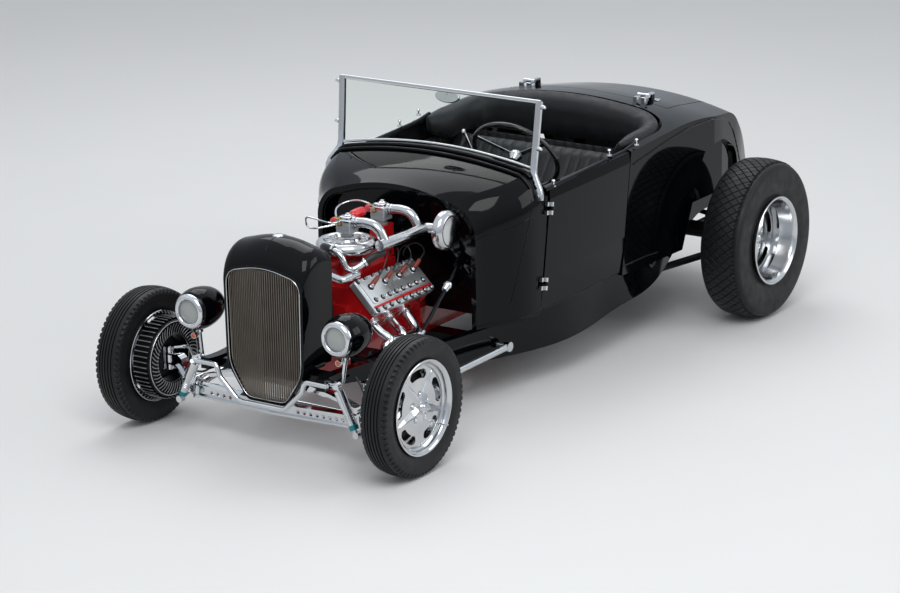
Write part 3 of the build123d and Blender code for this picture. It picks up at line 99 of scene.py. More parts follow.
world = bpy.data.worlds.new("studio_surround")
bpy.context.scene.world = world
world.use_nodes = True
sky = world.node_tree
sky.nodes.clear()
ray = add(sky, "ShaderNodeLightPath")
seen = add(sky, "ShaderNodeMath",
           {0: ray.outputs["Is Camera Ray"], 1: ray.outputs["Is Transmission Ray"]}, operation="MAXIMUM")
direction = add(sky, "ShaderNodeTexCoord")
split = add(sky, "ShaderNodeSeparateXYZ", {0: direction.outputs["Generated"]})
height = add(sky, "ShaderNodeMapRange", {"Value": split.outputs["Z"], "From Min": 0.0, "From Max": 0.60})
dome = add(sky, "ShaderNodeMix",
           {"Factor": height.outputs[0], 6: linear("#b3bac3"), 7: linear("#e6edf6")}, data_type="RGBA")
plain = add(sky, "ShaderNodeBackground", {"Color": linear("#f1f2f3"), "Strength": 1.0})
mirrored = add(sky, "ShaderNodeBackground", {"Color": dome.outputs[2], "Strength": 1.0})
dim = add(sky, "ShaderNodeBackground", {"Color": linear("#f4f6f8"), "Strength": 0.62})
gloss = add(sky, "ShaderNodeMixShader",
            {0: ray.outputs["Is Glossy Ray"], 1: dim.outputs[0], 2: mirrored.outputs[0]})
shown = add(sky, "ShaderNodeMixShader", {0: seen.outputs[0], 1: gloss.outputs[0], 2: plain.outputs[0]})
add(sky, "ShaderNodeOutputWorld", {"Surface": shown.outputs[0]})


def soft_lamp(name, place, aim, size, power):
    """A square soft box at a place, turned to its aim."""
    light = bpy.data.lights.new(name, "AREA")
    light.size, light.energy = size, power
    lamp = bpy.data.objects.new(name, light)
    bpy.context.scene.collection.objects.link(lamp)
    lamp.location = place
    lamp.rotation_mode = "QUATERNION"
    lamp.rotation_quaternion = (Vector(aim) - Vector(place)).to_track_quat("-Z", "Y")


soft_lamp("key_soft_box", (3.0, -4.5, 6.0), (0.0, -0.3, 0.4), 4.0, 230.0)
soft_lamp("fill_soft_box", (6.0, 2.0, 3.5), (0.0, 0.2, 0.5), 3.5, 90.0)
soft_lamp("top_soft_box", (-2.5, 2.5, 6.5), (0.0, 0.3, 0.5), 5.0, 170.0)


def mesh_piece(name, mesh, material, body, smooth=None):
    """Puts a bmesh into the scene as one piece that rides on a body."""
    data = bpy.data.meshes.new(name)
    mesh.to_mesh(data)
    mesh.free()
    if smooth is not None:
        data.shade_smooth()
        data.set_sharp_from_angle(angle=radians(smooth))
    piece = bpy.data.objects.new(name, data)
    bpy.context.scene.collection.objects.link(piece)
    data.materials.append(material)
    if body:
        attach(piece, body)
    return piece


def bare_material(name):
    """A new material with an empty node tree, and the tree."""
    material = bpy.data.materials.new(name)
    material.use_nodes = True
    material.node_tree.nodes.clear()
    return material, material.node_tree


def surface(name, hexes, metallic=0.0, rough=(0.4, 0.5), grain=(1.0, 0.02), mottle=60.0, coat=0.0,
            index=1.5):
    """A finish: two close colours in soft patches, uneven gloss, and a grain of a real size in mm."""
    material, tree = bare_material(name)
    place = add(tree, "ShaderNodeTexCoord").outputs["Object"]
    patch = add(tree, "ShaderNodeTexNoise", {"Vector": place, "Scale": 1000 / mottle, "Detail": 4.0})
    fine = add(tree, "ShaderNodeTexNoise", {"Vector": place, "Scale": 1000 / grain[0], "Detail": 3.0})
    tint = add(tree, "ShaderNodeMix",
               {"Factor": patch.outputs[0], 6: linear(hexes[0]), 7: linear(hexes[1])}, data_type="RGBA")
    sheen = add(tree, "ShaderNodeMapRange", {"Value": patch.outputs[0], "From Min": 0.3, "From Max": 0.7,
                                             "To Min": rough[0], "To Max": rough[1]})
    bump = add(tree, "ShaderNodeBump",
               {"Height": fine.outputs[0], "Strength": 1.0, "Distance": grain[1] / 1000})
    shader = add(tree, "ShaderNodeBsdfPrincipled", {
        "Base Color": tint.outputs[2], "Roughness": sheen.outputs[0], "Metallic": metallic,
        "Normal": bump.outputs[0], "Coat Weight": coat, "Coat Roughness": 0.03, "IOR": index})
    add(tree, "ShaderNodeOutputMaterial", {"Surface": shader.outputs[0]})
    return material


FLOOR_SIZE = 40.0
# painted board: matt and even, so that the car's shadow is all it shows
floor_finish = surface("smooth_studio_board", ("#d9dadb", "#dedfe0"), rough=(0.7, 0.8),
                       grain=(3.0, 0.01), mottle=900)
board = bmesh.new()
bmesh.ops.create_grid(board, x_segments=1, y_segments=1, size=FLOOR_SIZE)
studio_floor = mesh_piece("studio_floor", board, floor_finish, None)

# The frame and its running gear
# Two pressed steel rails and five crossmembers, welded up and sprayed with the body's gloss enamel.
# The front axle, springs, rods and dampers that bolt to them are plated; the rear axle is painted.


def dress(material, *names):
    """Gives carried-over solids their finish."""
    for name in names:
        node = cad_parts[name]
        for place in node.material_slots:
            place.link = "OBJECT"
            place.material = material


# sprayed enamel: deep black, sharp reflections, with a trace of orange peel in them
gloss_black = surface("sprayed_gloss_enamel", ("#020305", "#040508"), rough=(0.03, 0.06),
                      grain=(3.0, 0.002), index=1.27)
# brushed chassis paint: the same black, dulled
satin_black = surface("brushed_chassis_paint", ("#070708", "#0c0c0e"), rough=(0.28, 0.42),
                      grain=(1.2, 0.02), index=1.33)
# nickel and chromium plate: a mirror with a faint cool tint and soft patches where it was wiped
chrome = surface("chromium_plate", ("#c9cccf", "#dcdee0"), metallic=1.0, rough=(0.04, 0.10),
                 grain=(4.0, 0.004))
dress(gloss_black, "frame_rails", "crossmembers")
dress(satin_black, "rear_axle", "rear_radius_rods")
dress(chrome, "spreader_bar", "front_axle", "leaf_springs", "front_radius_rods", "front_shocks",
      "headlight_stands", "tie_rod", "drag_link", "pitman_arm", "knuckle_left", "knuckle_right")

# anodised aluminium collars near the dampers' feet: a blue-green band on the bright tube
teal_collar = surface("anodised_teal_collar", ("#1f7a80", "#2a8d92"), metallic=0.8, rough=(0.25, 0.35),
                      grain=(0.8, 0.01))
SHOCK_FOOT, SHOCK_HEAD = Vector((0.462, -1.589, 0.148)), Vector((0.366, -1.589, 0.345))


def turned(profile, steps=96, closed=True):
    """A ring turned from a closed outline of (radius, height) points about its own axis."""
    mesh = bmesh.new()
    rings = []
    for number in range(steps):
        angle = tau * number / steps
        rings.append([mesh.verts.new((r * cos(angle), r * sin(angle), z)) for r, z in profile])
    spans = len(profile) if closed else len(profile) - 1
    for number, ring in enumerate(rings):
        other = rings[(number + 1) % steps]
        for k in range(spans):
            j = (k + 1) % len(profile)
            corners = (ring[k], other[k], other[j], ring[j])
            mesh.faces.new(corners)
    bmesh.ops.remove_doubles(mesh, verts=mesh.verts, dist=1e-6)
    bmesh.ops.recalc_face_normals(mesh, faces=mesh.faces)
    return mesh


def merge(target, source, matrix=None):
    """Adds one mesh to another, and frees it."""
    if matrix is not None:
        source.transform(matrix)
    data = bpy.data.meshes.new("passing")
    source.to_mesh(data)
    source.free()
    target.from_mesh(data)
    bpy.data.meshes.remove(data)


def along(start, end, share):
    """Stands a thing made about +Z on a line from start to end, at a share of its length."""
    turn = (end - start).to_track_quat("Z", "Y").to_matrix().to_4x4()
    return Matrix.Translation(start.lerp(end, share)) @ turn


def other_side(mesh):
    """The mirror image on the car's right side."""
    copy = mesh.copy()
    bmesh.ops.scale(copy, vec=(-1, 1, 1), verts=copy.verts)
    bmesh.ops.reverse_faces(copy, faces=copy.faces)
    return copy


def on_both_sides(mesh):
    """The mesh with its mirror image added."""
    merge(mesh, other_side(mesh))
    return mesh


collars = bmesh.new()
merge(collars, turned([(0.0192, -0.011), (0.0202, -0.010), (0.0202, 0.010), (0.0192, 0.011)], 40),
      along(SHOCK_FOOT, SHOCK_HEAD, 0.16))
mesh_piece("damper_collars", on_both_sides(collars), teal_collar, "car", smooth=30)
sleeves = bmesh.new()
merge(sleeves, turned([(0.0192, -0.030), (0.0208, -0.029), (0.0208, 0.029), (0.0192, 0.030)], 40),
      along(SHOCK_FOOT, SHOCK_HEAD, 0.70))
thin_ring = [(0.0190, -0.0015), (0.0199, -0.0006), (0.0199, 0.0006), (0.0190, 0.0015)]
for share in (0.32, 0.36, 0.40):
    merge(sleeves, turned(thin_ring, 36), along(SHOCK_FOOT, SHOCK_HEAD, share))
mesh_piece("damper_sleeves", on_both_sides(sleeves), chrome, "car", smooth=30)

# Brake hoses
# A rubber hose under a steel braid hangs in a loop from each rail to the drum's backing plate, long
# enough for full lock.

# braided steel over rubber: dark grey and half dull, with a fine raised weave
hose_rubber = surface("braided_brake_hose", ("#2a2b2d", "#3c3d40"), rough=(0.4, 0.55), grain=(0.7, 0.05))


def tube(points, radius, sides=12, spread=6):
    """A round tube along a smooth line through points; its ends are closed."""
    line = bpy.data.curves.new("line", "CURVE")
    line.dimensions = "3D"
    spline = line.splines.new("NURBS")
    spline.points.add(len(points) - 1)
    for point, place in zip(spline.points, points):
        point.co = (*place, 1.0)
    spline.order_u = 3
    spline.use_endpoint_u = True
    spline.resolution_u = spread
    line.bevel_depth = radius
    line.bevel_resolution = max(1, sides // 4 - 1)
    line.use_fill_caps = True
    holder = bpy.data.objects.new("line", line)
    data = bpy.data.meshes.new_from_object(holder)
    bpy.data.objects.remove(holder)
    mesh = bmesh.new()
    mesh.from_mesh(data)
    bpy.data.meshes.remove(data)
    bmesh.ops.remove_doubles(mesh, verts=mesh.verts, dist=1e-6)
    return mesh


HOSE_R = 0.0048
for side_name, s in (("left", 1), ("right", -1)):
    hang = [(0.338 * s, -1.420, 0.330), (0.360 * s, -1.425, 0.318), (0.400 * s, -1.440, 0.262),
            (0.440 * s, -1.462, 0.232), (0.490 * s, -1.480, 0.246), (0.528 * s, -1.492, 0.276),
            (0.538 * s, -1.496, 0.284)]
    hose = mesh_piece(f"brake_hose_{side_name}", tube(hang, HOSE_R, 12, 6), hose_rubber, None,
                      smooth=60)
    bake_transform(hose)

# Wheels
# Five-spoke star wheels, cast in aluminium and polished: a deep stepped rim, a disc with a ridge
# down each spoke, a kidney window between each pair, lug nuts in pockets and a domed cap.

SPOKES, LUG_CIRCLE_R = 5, 0.057
# cast aluminium, polished by hand: bright with soft swirls, a little less sharp than plate
polished = surface("polished_cast_aluminium", ("#bfc1c3", "#d0d1d2"), metallic=1.0, rough=(0.10, 0.20),
                   grain=(1.5, 0.008))


def on_axle(side, x, y, z):
    """Turns a thing made about +Z so that its outer face looks out on one side of the car."""
    return Matrix.Translation((side * x, y, z)) @ Matrix.Rotation(side * pi / 2, 4, "Y")


def rim_mesh(rim_r, rim_w, dish):
    """The rim: a rolled lip, a bright step, the drop centre and the inner flange."""
    half = rim_w / 2
    seat, well = rim_r - 0.012, rim_r - 0.034
    outline = [(rim_r - 0.003, half), (rim_r, half - 0.002), (rim_r, half - 0.004),
               (seat + 0.003, half - 0.009), (seat, half - 0.012), (seat - 0.002, half - 0.034),
               (well, half - 0.044), (well, half - 0.076), (seat - 0.003, half - 0.086),
               (seat, 0.010 - half), (rim_r - 0.001, 0.002 - half), (rim_r - 0.004, -half),
               (seat - 0.006, 0.007 - half), (seat - 0.009, half - 0.088), (well - 0.005, half - 0.078),
               (well - 0.005, half - 0.042), (seat - 0.020, half - 0.036), (seat - 0.013, half - 0.031),
               (seat - 0.0085, half - 0.027), (seat - 0.0080, half - 0.014),
               (seat - 0.0045, half - 0.0085), (seat + 0.001, half - 0.0045),
               (rim_r - 0.007, half - 0.0005)]
    if dish > 0.06:  # the deep rear rim has no step behind its lip
        inner = seat - 0.011
        outline = [p for p in outline if p[0] >= inner - 0.001 or p[1] < half - 0.05]
    return turned(outline, 128)


def disc_height(r, angle, radius):
    """How far the disc stands out at a place: ridges that taper to the rim, with pockets between."""
    share = r / radius
    spoke = round(angle / (tau / SPOKES)) * tau / SPOKES
    across = abs(r * sin(angle - spoke))
    tall = 0.018 * max(0.0, 1 - share / 0.93) ** 0.55
    wide = 0.005 + 0.021 * max(0.0, 1 - share / 0.95)
    ridge = tall * max(0.0, 1 - across / wide) ** 0.8
    gap = abs(angle - (spoke + (pi / SPOKES if angle > spoke else -pi / SPOKES)))
    lug = Vector((r * cos(gap) - LUG_CIRCLE_R, r * sin(gap))).length
    pocket = -0.004 if lug < 0.0135 else 0.0
    swell = 0.006 * max(0.0, 1 - abs(share - 0.33) / 0.3)
    roll_in = -0.004 * max(0.0, (share - 0.9) / 0.1)
    return ridge + pocket + swell + roll_in


def in_window(r, angle, radius):
    """Signed distance into the nearest kidney window, in metres; above 0 is inside."""
    centre = (round(angle / (tau / SPOKES) - 0.5) + 0.5) * tau / SPOKES
    middle, half_width = 0.77 * radius, 0.0190
    past_end = max(0.0, abs(angle - centre) * middle - 0.44 * middle * pi / SPOKES)
    return half_width - Vector((past_end, r - middle)).length


def disc_mesh(radius):
    """The disc as one skin on a polar grid, with its windows cut and its back closed behind."""
    mesh = bmesh.new()
    rings, columns, thick = 44, 300, 0.009
    first = 0.026
    grid = []
    for i in range(rings + 1):
        r = first + (radius - first) * i / rings
        row = []
        for j in range(columns):
            angle = tau * j / columns
            row.append(mesh.verts.new((r * cos(angle), r * sin(angle), disc_height(r, angle, radius))))
        grid.append(row)
    for i in range(rings):
        for j in range(columns):
            k = (j + 1) % columns
            r = first + (radius - first) * (i + 0.5) / rings
            if in_window(r, tau * (j + 0.5) / columns, radius) > 0:
                continue
            mesh.faces.new((grid[i][j], grid[i + 1][j], grid[i + 1][k], grid[i][k]))
    bmesh.ops.delete(mesh, geom=[v for v in mesh.verts if not v.link_faces], context="VERTS")
    edge = [v for v in mesh.verts if any(len(e.link_faces) == 1 for e in v.link_edges)
            and 0.6 * radius < v.co.xy.length < 0.93 * radius]
    for _ in range(3):
        moves = {}
        for v in edge:
            near = [e.other_vert(v) for e in v.link_edges if len(e.link_faces) == 1]
            if len(near) == 2:
                moves[v] = v.co.lerp((near[0].co + near[1].co) / 2, 0.6)
        for v, co in moves.items():
            v.co = co
    top = list(mesh.faces)
    shell = bmesh.ops.extrude_face_region(mesh, geom=top)
    for v in (g for g in shell["geom"] if isinstance(g, bmesh.types.BMVert)):
        v.co.z = min(v.co.z, 0.002) - thick
    bmesh.ops.recalc_face_normals(mesh, faces=mesh.faces)
    return mesh


def cap_mesh():
    """The domed cap on its stepped ring."""
    outline = [(0.0, 0.0335), (0.006, 0.0330), (0.012, 0.0305), (0.017, 0.0265), (0.0205, 0.0205),
               (0.0215, 0.0165), (0.0245, 0.0160), (0.0262, 0.0145), (0.0270, 0.0110), (0.0305, 0.0105),
               (0.0325, 0.0085), (0.0330, 0.0), (0.0330, -0.020), (0.0, -0.020)]
    return turned(outline, 48, closed=False)


def nut_mesh(size=0.010, tall=0.017):
    """A plated nut with a rounded end, six-sided and standing on its washer."""
    mesh = bmesh.new()
    washer = size * 1.15
    merge(mesh,
          turned([(0.0, -0.001), (washer, -0.001), (washer, 0.0012), (0.0, 0.0012)], 18, closed=False))
    hexagon = [(0.96, 0.0), (1.0, 0.0006), (1.0, 0.60), (0.94, 0.66)]
    rings = []
    for share, z in hexagon:
        z = z if z < 0.01 else z * tall
        reach = size * share
        rings.append([mesh.verts.new((reach * cos(tau * k / 6), reach * sin(tau * k / 6), z))
                      for k in range(6)])
    for low, high in zip(rings, rings[1:]):
        for k in range(6):
            mesh.faces.new((low[k], low[(k + 1) % 6], high[(k + 1) % 6], high[k]))
    mesh.faces.new(rings[-1])
    merge(mesh, turned([(size * 0.80, 0.62 * tall), (size * 0.76, 0.78 * tall),
                        (size * 0.55, 0.93 * tall), (0.0, tall)], 18, closed=False))
    return mesh


def rear_drum_mesh():
    """The plain rear brake drum with cooling ribs, bolted behind the disc; outside is up."""
    ribs = [(0.060, -0.0353), (0.134, -0.0353), (0.140, -0.0390)]
    for k in range(5):
        low = -0.045 - 0.011 * k
        ribs += [(0.1385, low + 0.004), (0.1425, low + 0.003), (0.1425, low - 0.003),
                 (0.1385, low - 0.004)]
    ribs += [(0.140, -0.1000), (0.136, -0.1033), (0.060, -0.1033)]
    return turned(ribs, 96)


def wheel_piece(name, body, side, x, y, z, rim_r, rim_w, dish):
    """One whole wheel with its nuts, cap and valve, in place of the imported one."""
    metal = bmesh.new()
    disc_z = rim_w / 2 - dish
    radius = rim_r - 0.0215
    merge(metal, rim_mesh(rim_r, rim_w, dish))
    merge(metal, disc_mesh(radius), Matrix.Translation((0, 0, disc_z)))
    merge(metal, cap_mesh(), Matrix.Translation((0, 0, disc_z)))
    boss = [(0.034, 0.0), (0.044, -0.004), (0.044, -0.0295), (0.0, -0.0295)]
    merge(metal, turned(boss, 40, closed=False), Matrix.Translation((0, 0, disc_z)))
    metal.transform(on_axle(side, x, y, z))
    piece = mesh_piece(name, metal, polished, body, smooth=32)
    nuts = bmesh.new()
    for number in range(SPOKES):
        turn = Matrix.Rotation(tau * (number + 0.5) / SPOKES, 4, "Z")
        merge(nuts, nut_mesh(), Matrix.Translation((0, 0, disc_z - 0.004)) @ turn
              @ Matrix.Translation((LUG_CIRCLE_R, 0, 0)))
    valve = [(0.0, 0.0), (0.0045, 0.0), (0.0045, 0.006), (0.003, 0.007), (0.003, 0.026), (0.0038, 0.027),
             (0.0038, 0.036), (0.0, 0.037)]
    merge(nuts, turned(valve, 14, closed=False),
          Matrix.Rotation(0.9, 4, "Z") @ Matrix.Translation((rim_r - 0.026, 0, disc_z + 0.012)))
    nuts.transform(on_axle(side, x, y, z))
    mesh_piece(name + "_nuts", nuts, chrome, body, smooth=32)
    return piece


# Tyres
# Black vulcanised rubber. In front narrow ribbed ones with notched shoulders, at the back wide
# ones with a smooth bulging wall and a tread of rubber diamonds cut apart by slanting grooves.

TREAD_SHARE = 0.76
RIB_GROOVES, GROOVE_DEEP, NOTCHES, NOTCH_DEEP = (0.030, 0.0155, 0.0), 0.0055, 68, 0.0090
DIAMOND_ROWS, DIAMONDS_ACROSS, DIAMOND_TALL = 54, 7, 0.0075


def tyre_outline(tyre_r, tyre_w, rim_r, rim_w, crown, sink=0.0):
    """Half of the tyre's section from bead to crown, as (radius, height) points."""
    half, bead = tyre_w / 2, min(rim_w, tyre_w) / 2 - 0.012
    shoulder_r = tyre_r - 0.20 * (tyre_r - rim_r)
    tread_half = TREAD_SHARE * half
    points = [(rim_r - 0.0115, bead - 0.004), (rim_r + 0.002, bead + 0.001)]
    for k in range(1, 12):
        share = k / 11
        bulge = sin(pi * min(1.0, share * 0.62 + 0.05))
        points.append((rim_r + 0.003 + (shoulder_r - rim_r - 0.003) * share,
                       bead + (half - bead) * min(1.0, bulge + 0.12 * share)))
    for k in range(1, 6):
        angle = pi / 2 * k / 5
        points.append((shoulder_r + (tyre_r - crown - shoulder_r) * sin(angle) - sink * k / 5,
                       half - 0.001 - (half - tread_half) * (1 - cos(angle))))
    return points


def tread_radius(s, half, tyre_r, crown):
    """The crown's radius at a distance from the middle of the tread."""
    return tyre_r - crown * (abs(s) / half) ** 2


def swept_skin(columns, steps, depth):
    """A closed skin from section points, each ring pushed in as far as depth(k, number) says."""
    mesh = bmesh.new()
    rings = []
    for number in range(steps):
        angle = tau * number / steps
        rings.append([mesh.verts.new(((r - depth(k, number)) * cos(angle),
                                      (r - depth(k, number)) * sin(angle), z))
                      for k, (r, z) in enumerate(columns)])
    for number, ring in enumerate(rings):
        other = rings[(number + 1) % steps]
        for k in range(len(columns)):
            j = (k + 1) % len(columns)
            mesh.faces.new((ring[k], other[k], other[j], ring[j]))
    bmesh.ops.recalc_face_normals(mesh, faces=mesh.faces)
    return mesh


def ribbed_tyre(tyre_r, tyre_w, rim_r, rim_w, crown):
    """A front tyre: four ribs with grooves between them, and a shoulder notched all round."""
    side_points = tyre_outline(tyre_r, tyre_w, rim_r, rim_w, crown)
    tread_half = TREAD_SHARE * tyre_w / 2
    tread = []
    for edge in RIB_GROOVES:
        for s, dip in ((edge + 0.0032, 0), (edge + 0.0028, 1), (edge - 0.0028, 1), (edge - 0.0032, 0)):
            if s > 0 or edge > 0:
                tread.append((s, dip))
    right = [(s, dip) for s, dip in tread if s < tread_half]
    row = [(r, z, 0) for r, z in side_points]
    row += [(tread_radius(s, tread_half, tyre_r, crown), s, dip) for s, dip in right]
    row += [(tread_radius(s, tread_half, tyre_r, crown), -s, dip) for s, dip in reversed(right)]
    row += [(r, -z, 0) for r, z in reversed(side_points)]
    per = 6
    last = len(side_points) - 1
    cut = {k for k in range(last - 5, last)} | {len(row) - 1 - k for k in range(last - 5, last)}

    def depth(k, number):
        notched = NOTCH_DEEP if k in cut and number % per in (0, 1) else 0.0
        return GROOVE_DEEP * row[k][2] + notched

    return swept_skin([(r, z) for r, z, _ in row], NOTCHES * per, depth)


def diamond_tyre(tyre_r, tyre_w, rim_r, rim_w, crown):
    """A rear tyre: a smooth carcass, and rows of rubber diamonds round its crown."""
    side_points = tyre_outline(tyre_r, tyre_w, rim_r, rim_w, crown, sink=DIAMOND_TALL)
    tread_half = TREAD_SHARE * tyre_w / 2
    middle = [tread_half * (1 - k / 6) for k in range(1, 12)]
    row = side_points + [(tread_radius(s, tread_half, tyre_r, crown) - DIAMOND_TALL, s) for s in middle]
    row += [(r, -z) for r, z in reversed(side_points)]
    mesh = swept_skin(row, 160, lambda k, number: 0.0)
    pitch = tau / DIAMOND_ROWS
    overhang = 0.012
    reach = tread_half + overhang
    wide = 2 * reach / DIAMONDS_ACROSS

    def spot(s, angle, lower):
        bend = max(0.0, abs(s) - tread_half)
        r = tread_radius(s, tread_half, tyre_r, crown) - 6.5 * bend * bend / overhang - lower
        return mesh.verts.new((r * cos(angle), r * sin(angle), s))

    for ring in range(2 * DIAMOND_ROWS):
        for column in range(DIAMONDS_ACROSS + 1):
            if (ring + column) % 2:
                continue
            s0 = -reach + wide * column
            a0 = pitch * ring / 2
            half_s, half_a = wide * 0.93, pitch * 0.5 * 0.86
            corners = [(-half_s, 0), (-half_s / 2, -half_a / 2), (0, -half_a), (half_s / 2, -half_a / 2),
                       (half_s, 0), (half_s / 2, half_a / 2), (0, half_a), (-half_s / 2, half_a / 2)]
            held = [(max(-reach, min(reach, s0 + s)), a0 + a) for s, a in corners]
            kept = [p for n, p in enumerate(held) if p != held[n - 1]]
            if len(kept) < 4:
                continue
            centre = (sum(p[0] for p in kept) / len(kept), sum(p[1] for p in kept) / len(kept))
            foot = [spot(s, a, DIAMOND_TALL + 0.0015) for s, a in kept]
            wall = [spot(s, a, 0.0012) for s, a in kept]
            top = [spot(centre[0] + (s - centre[0]) * 0.93, centre[1] + (a - centre[1]) * 0.93, 0.0)
                   for s, a in kept]
            crest = spot(*centre, 0.0)
            for n in range(len(kept)):
                m = (n + 1) % len(kept)
                mesh.faces.new((foot[n], foot[m], wall[m], wall[n]))
                mesh.faces.new((wall[n], wall[m], top[m], top[n]))
                mesh.faces.new((top[n], top[m], crest))
    bmesh.ops.recalc_face_normals(mesh, faces=mesh.faces)
    return mesh


# vulcanised rubber: near black, dull and slightly rough from the mould
tyre_rubber = surface("vulcanised_tread_rubber", ("#060708", "#0e0f12"), rough=(0.42, 0.6),
                      grain=(1.4, 0.05), mottle=45, index=1.4)

FRONT_AXLE_Y, FRONT_HUB_Z = -1.515, 0.294
# end, half track, axle's y, hub's height, rim radius, rim width, dish, tyre radius, tyre width, crown
STANDS = (("front", 0.689, FRONT_AXLE_Y, FRONT_HUB_Z, 0.201, 0.126, 0.030, 0.294, 0.126, 0.006),
          ("rear", 0.812, 1.177, 0.379, 0.210, 0.226, 0.118, 0.379, 0.206, 0.008))
for end, x, y, z, rim_r, rim_w, dish, tyre_r, tyre_w, crown in STANDS:
    for side_name, side_sign in (("left", 1), ("right", -1)):
        body = f"{end}_wheel_{side_name}"
        wheel = wheel_piece(f"star_wheel_{end}_{side_name}", body, side_sign,
                            x, y, z, rim_r, rim_w, dish)
        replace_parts(wheel, f"wheel_{end}_{side_name}")
        make = ribbed_tyre if end == "front" else diamond_tyre
        skin = make(tyre_r, tyre_w, rim_r, rim_w, crown)
        skin.transform(on_axle(side_sign, x, y, z))
        tyre = mesh_piece(f"tread_tyre_{end}_{side_name}", skin, tyre_rubber, body, smooth=28)
        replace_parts(tyre, f"tyre_{end}_{side_name}")
for side_name, side_sign in (("left", 1), ("right", -1)):
    drum = rear_drum_mesh()
    drum.transform(on_axle(side_sign, *STANDS[1][1:4]))
    mesh_piece(f"rear_brake_drum_{side_name}", drum, satin_black, f"rear_wheel_{side_name}",
               smooth=32)

# Front brake drums
# Big finned drums of cast aluminium, painted black. The edges of the fins were then turned bright,
# so each one shows as a thin line, and a bright ring divides the face's fins from the rim's.

DRUM_X, FIN_COUNT, FACE_FIN_TALL, RIM_FIN_TALL = 0.549, 48, 0.0070, 0.0108
BACKING_PLATE_X = 0.6105


def blade(path, wide, out, tall):
    """A thin fin that stands on a path: each point is raised along out by a height."""
    section = ((-1, -0.002), (-1, out), (-0.5, tall), (0.5, tall), (1, out), (1, -0.002))
    mesh = bmesh.new()
    rows = []
    for point, up, across in path:
        rows.append([mesh.verts.new(point + across * (wide / 2) * s + up * h) for s, h in section])
    for low, high in zip(rows, rows[1:]):
        for k in range(5):
            mesh.faces.new((low[k], low[k + 1], high[k + 1], high[k]))
    mesh.faces.new(rows[0])
    mesh.faces.new(list(reversed(rows[-1])))
    bmesh.ops.recalc_face_normals(mesh, faces=mesh.faces)
    return mesh


def face_path(angle):
    """The swept line of one fin on the drum's face, from its mouth to its ring."""
    path = []
    for k in range(7):
        share = k / 6
        r, a = 0.109 + 0.044 * share, angle + 0.16 * share ** 1.5
        point = Vector((r * cos(a), r * sin(a), 0.004))
        path.append((point, Vector((0, 0, -1)), Vector((-sin(a), cos(a), 0))))
    return path


def rim_path(angle):
    """The straight line of one fin along the drum's rim."""
    out = Vector((cos(angle), sin(angle), 0))
    return [(out * 0.167 + Vector((0, 0, 0.008 + 0.072 * k / 3)), out,
             Vector((-sin(angle), cos(angle), 0))) for k in range(4)]


# fin edges turned on a lathe: bare aluminium, satin, bright against the black between them
fin_edge = surface("turned_bright_fin_edges", ("#c4c6c8", "#dcdddf"), metallic=0.9, rough=(0.28, 0.40),
                   grain=(0.6, 0.01))
for side_name, side_sign in (("left", 1), ("right", -1)):
    shell, edges = bmesh.new(), bmesh.new()
    merge(shell, turned([(0.106, 0.006), (0.108, 0.0035), (0.153, 0.0035), (0.157, 0.0008),
                         (0.163, 0.0008), (0.167, 0.006), (0.168, 0.088), (0.164, 0.092), (0.110, 0.092),
                         (0.106, 0.088)], 128))
    merge(edges, turned([(0.1572, 0.0012), (0.1585, -0.0004), (0.1615, -0.0004), (0.1628, 0.0012)], 128))
    merge(edges, turned([(0.1050, 0.0060), (0.1062, 0.0030), (0.1075, 0.0034), (0.1075, 0.0060)], 128))
    for number in range(FIN_COUNT):
        angle = tau * number / FIN_COUNT
        merge(shell, blade(face_path(angle), 0.0044, 0.0068, FACE_FIN_TALL))
        merge(shell, blade(rim_path(angle), 0.0034, 0.0105, RIM_FIN_TALL))
        face_edge = [(p + up * FACE_FIN_TALL, up, across) for p, up, across in face_path(angle)]
        rim_edge = [(p + up * (RIM_FIN_TALL - 0.0002), up, across) for p, up, across in rim_path(angle)]
        merge(edges, blade(face_edge, 0.0040, 0.0004, 0.0010))
        merge(edges, blade(rim_edge, 0.0036, 0.0004, 0.0010))
    for mesh in (shell, edges):
        mesh.transform(on_axle(side_sign, DRUM_X, FRONT_AXLE_Y, FRONT_HUB_Z))
    body = f"front_wheel_{side_name}"
    drum_piece = mesh_piece(f"finned_drum_{side_name}", shell, satin_black, body,
                            smooth=30)
    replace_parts(drum_piece, f"drum_front_{side_name}")
    mesh_piece(f"bright_fin_edges_{side_name}", edges, fin_edge, body, smooth=30)
    plate = turned([(0.022, 0.0), (0.030, -0.003), (0.060, -0.003), (0.066, -0.006), (0.090, -0.006),
                    (0.097, -0.001), (0.097, 0.006), (0.022, 0.006)], 64)
    plate.transform(on_axle(side_sign, BACKING_PLATE_X, FRONT_AXLE_Y, FRONT_HUB_Z))
    mesh_piece(f"brake_backing_plate_{side_name}", plate, satin_black, f"knuckle_{side_name}",
               smooth=30)

# The engine
# An open vee-eight in red enamel under polished heads. Nuts hold the heads down in rows, a red line
# is painted along each lower edge, and brown boots carry black plug leads to the back of the valley.

BANK_TURN, DECK_REACH = pi / 4, 0.25
CRANK = Vector((0, -0.924, 0.385))
HEAD_TOP = 0.0303
PLUG_PITCH, PLUG_FIRST, PLUG_X = 0.104, -0.156, -0.030
BOOT_OUT, BOOT_BACK = -0.45, -0.75


def on_bank(side):
    """The deck of one bank of cylinders: x down and out, y along the car, z square off the deck."""
    place = Vector((side * sin(BANK_TURN), 0, cos(BANK_TURN))) * DECK_REACH + CRANK
    return Matrix.Translation(place) @ Matrix.Rotation(side * BANK_TURN, 4, "Y")


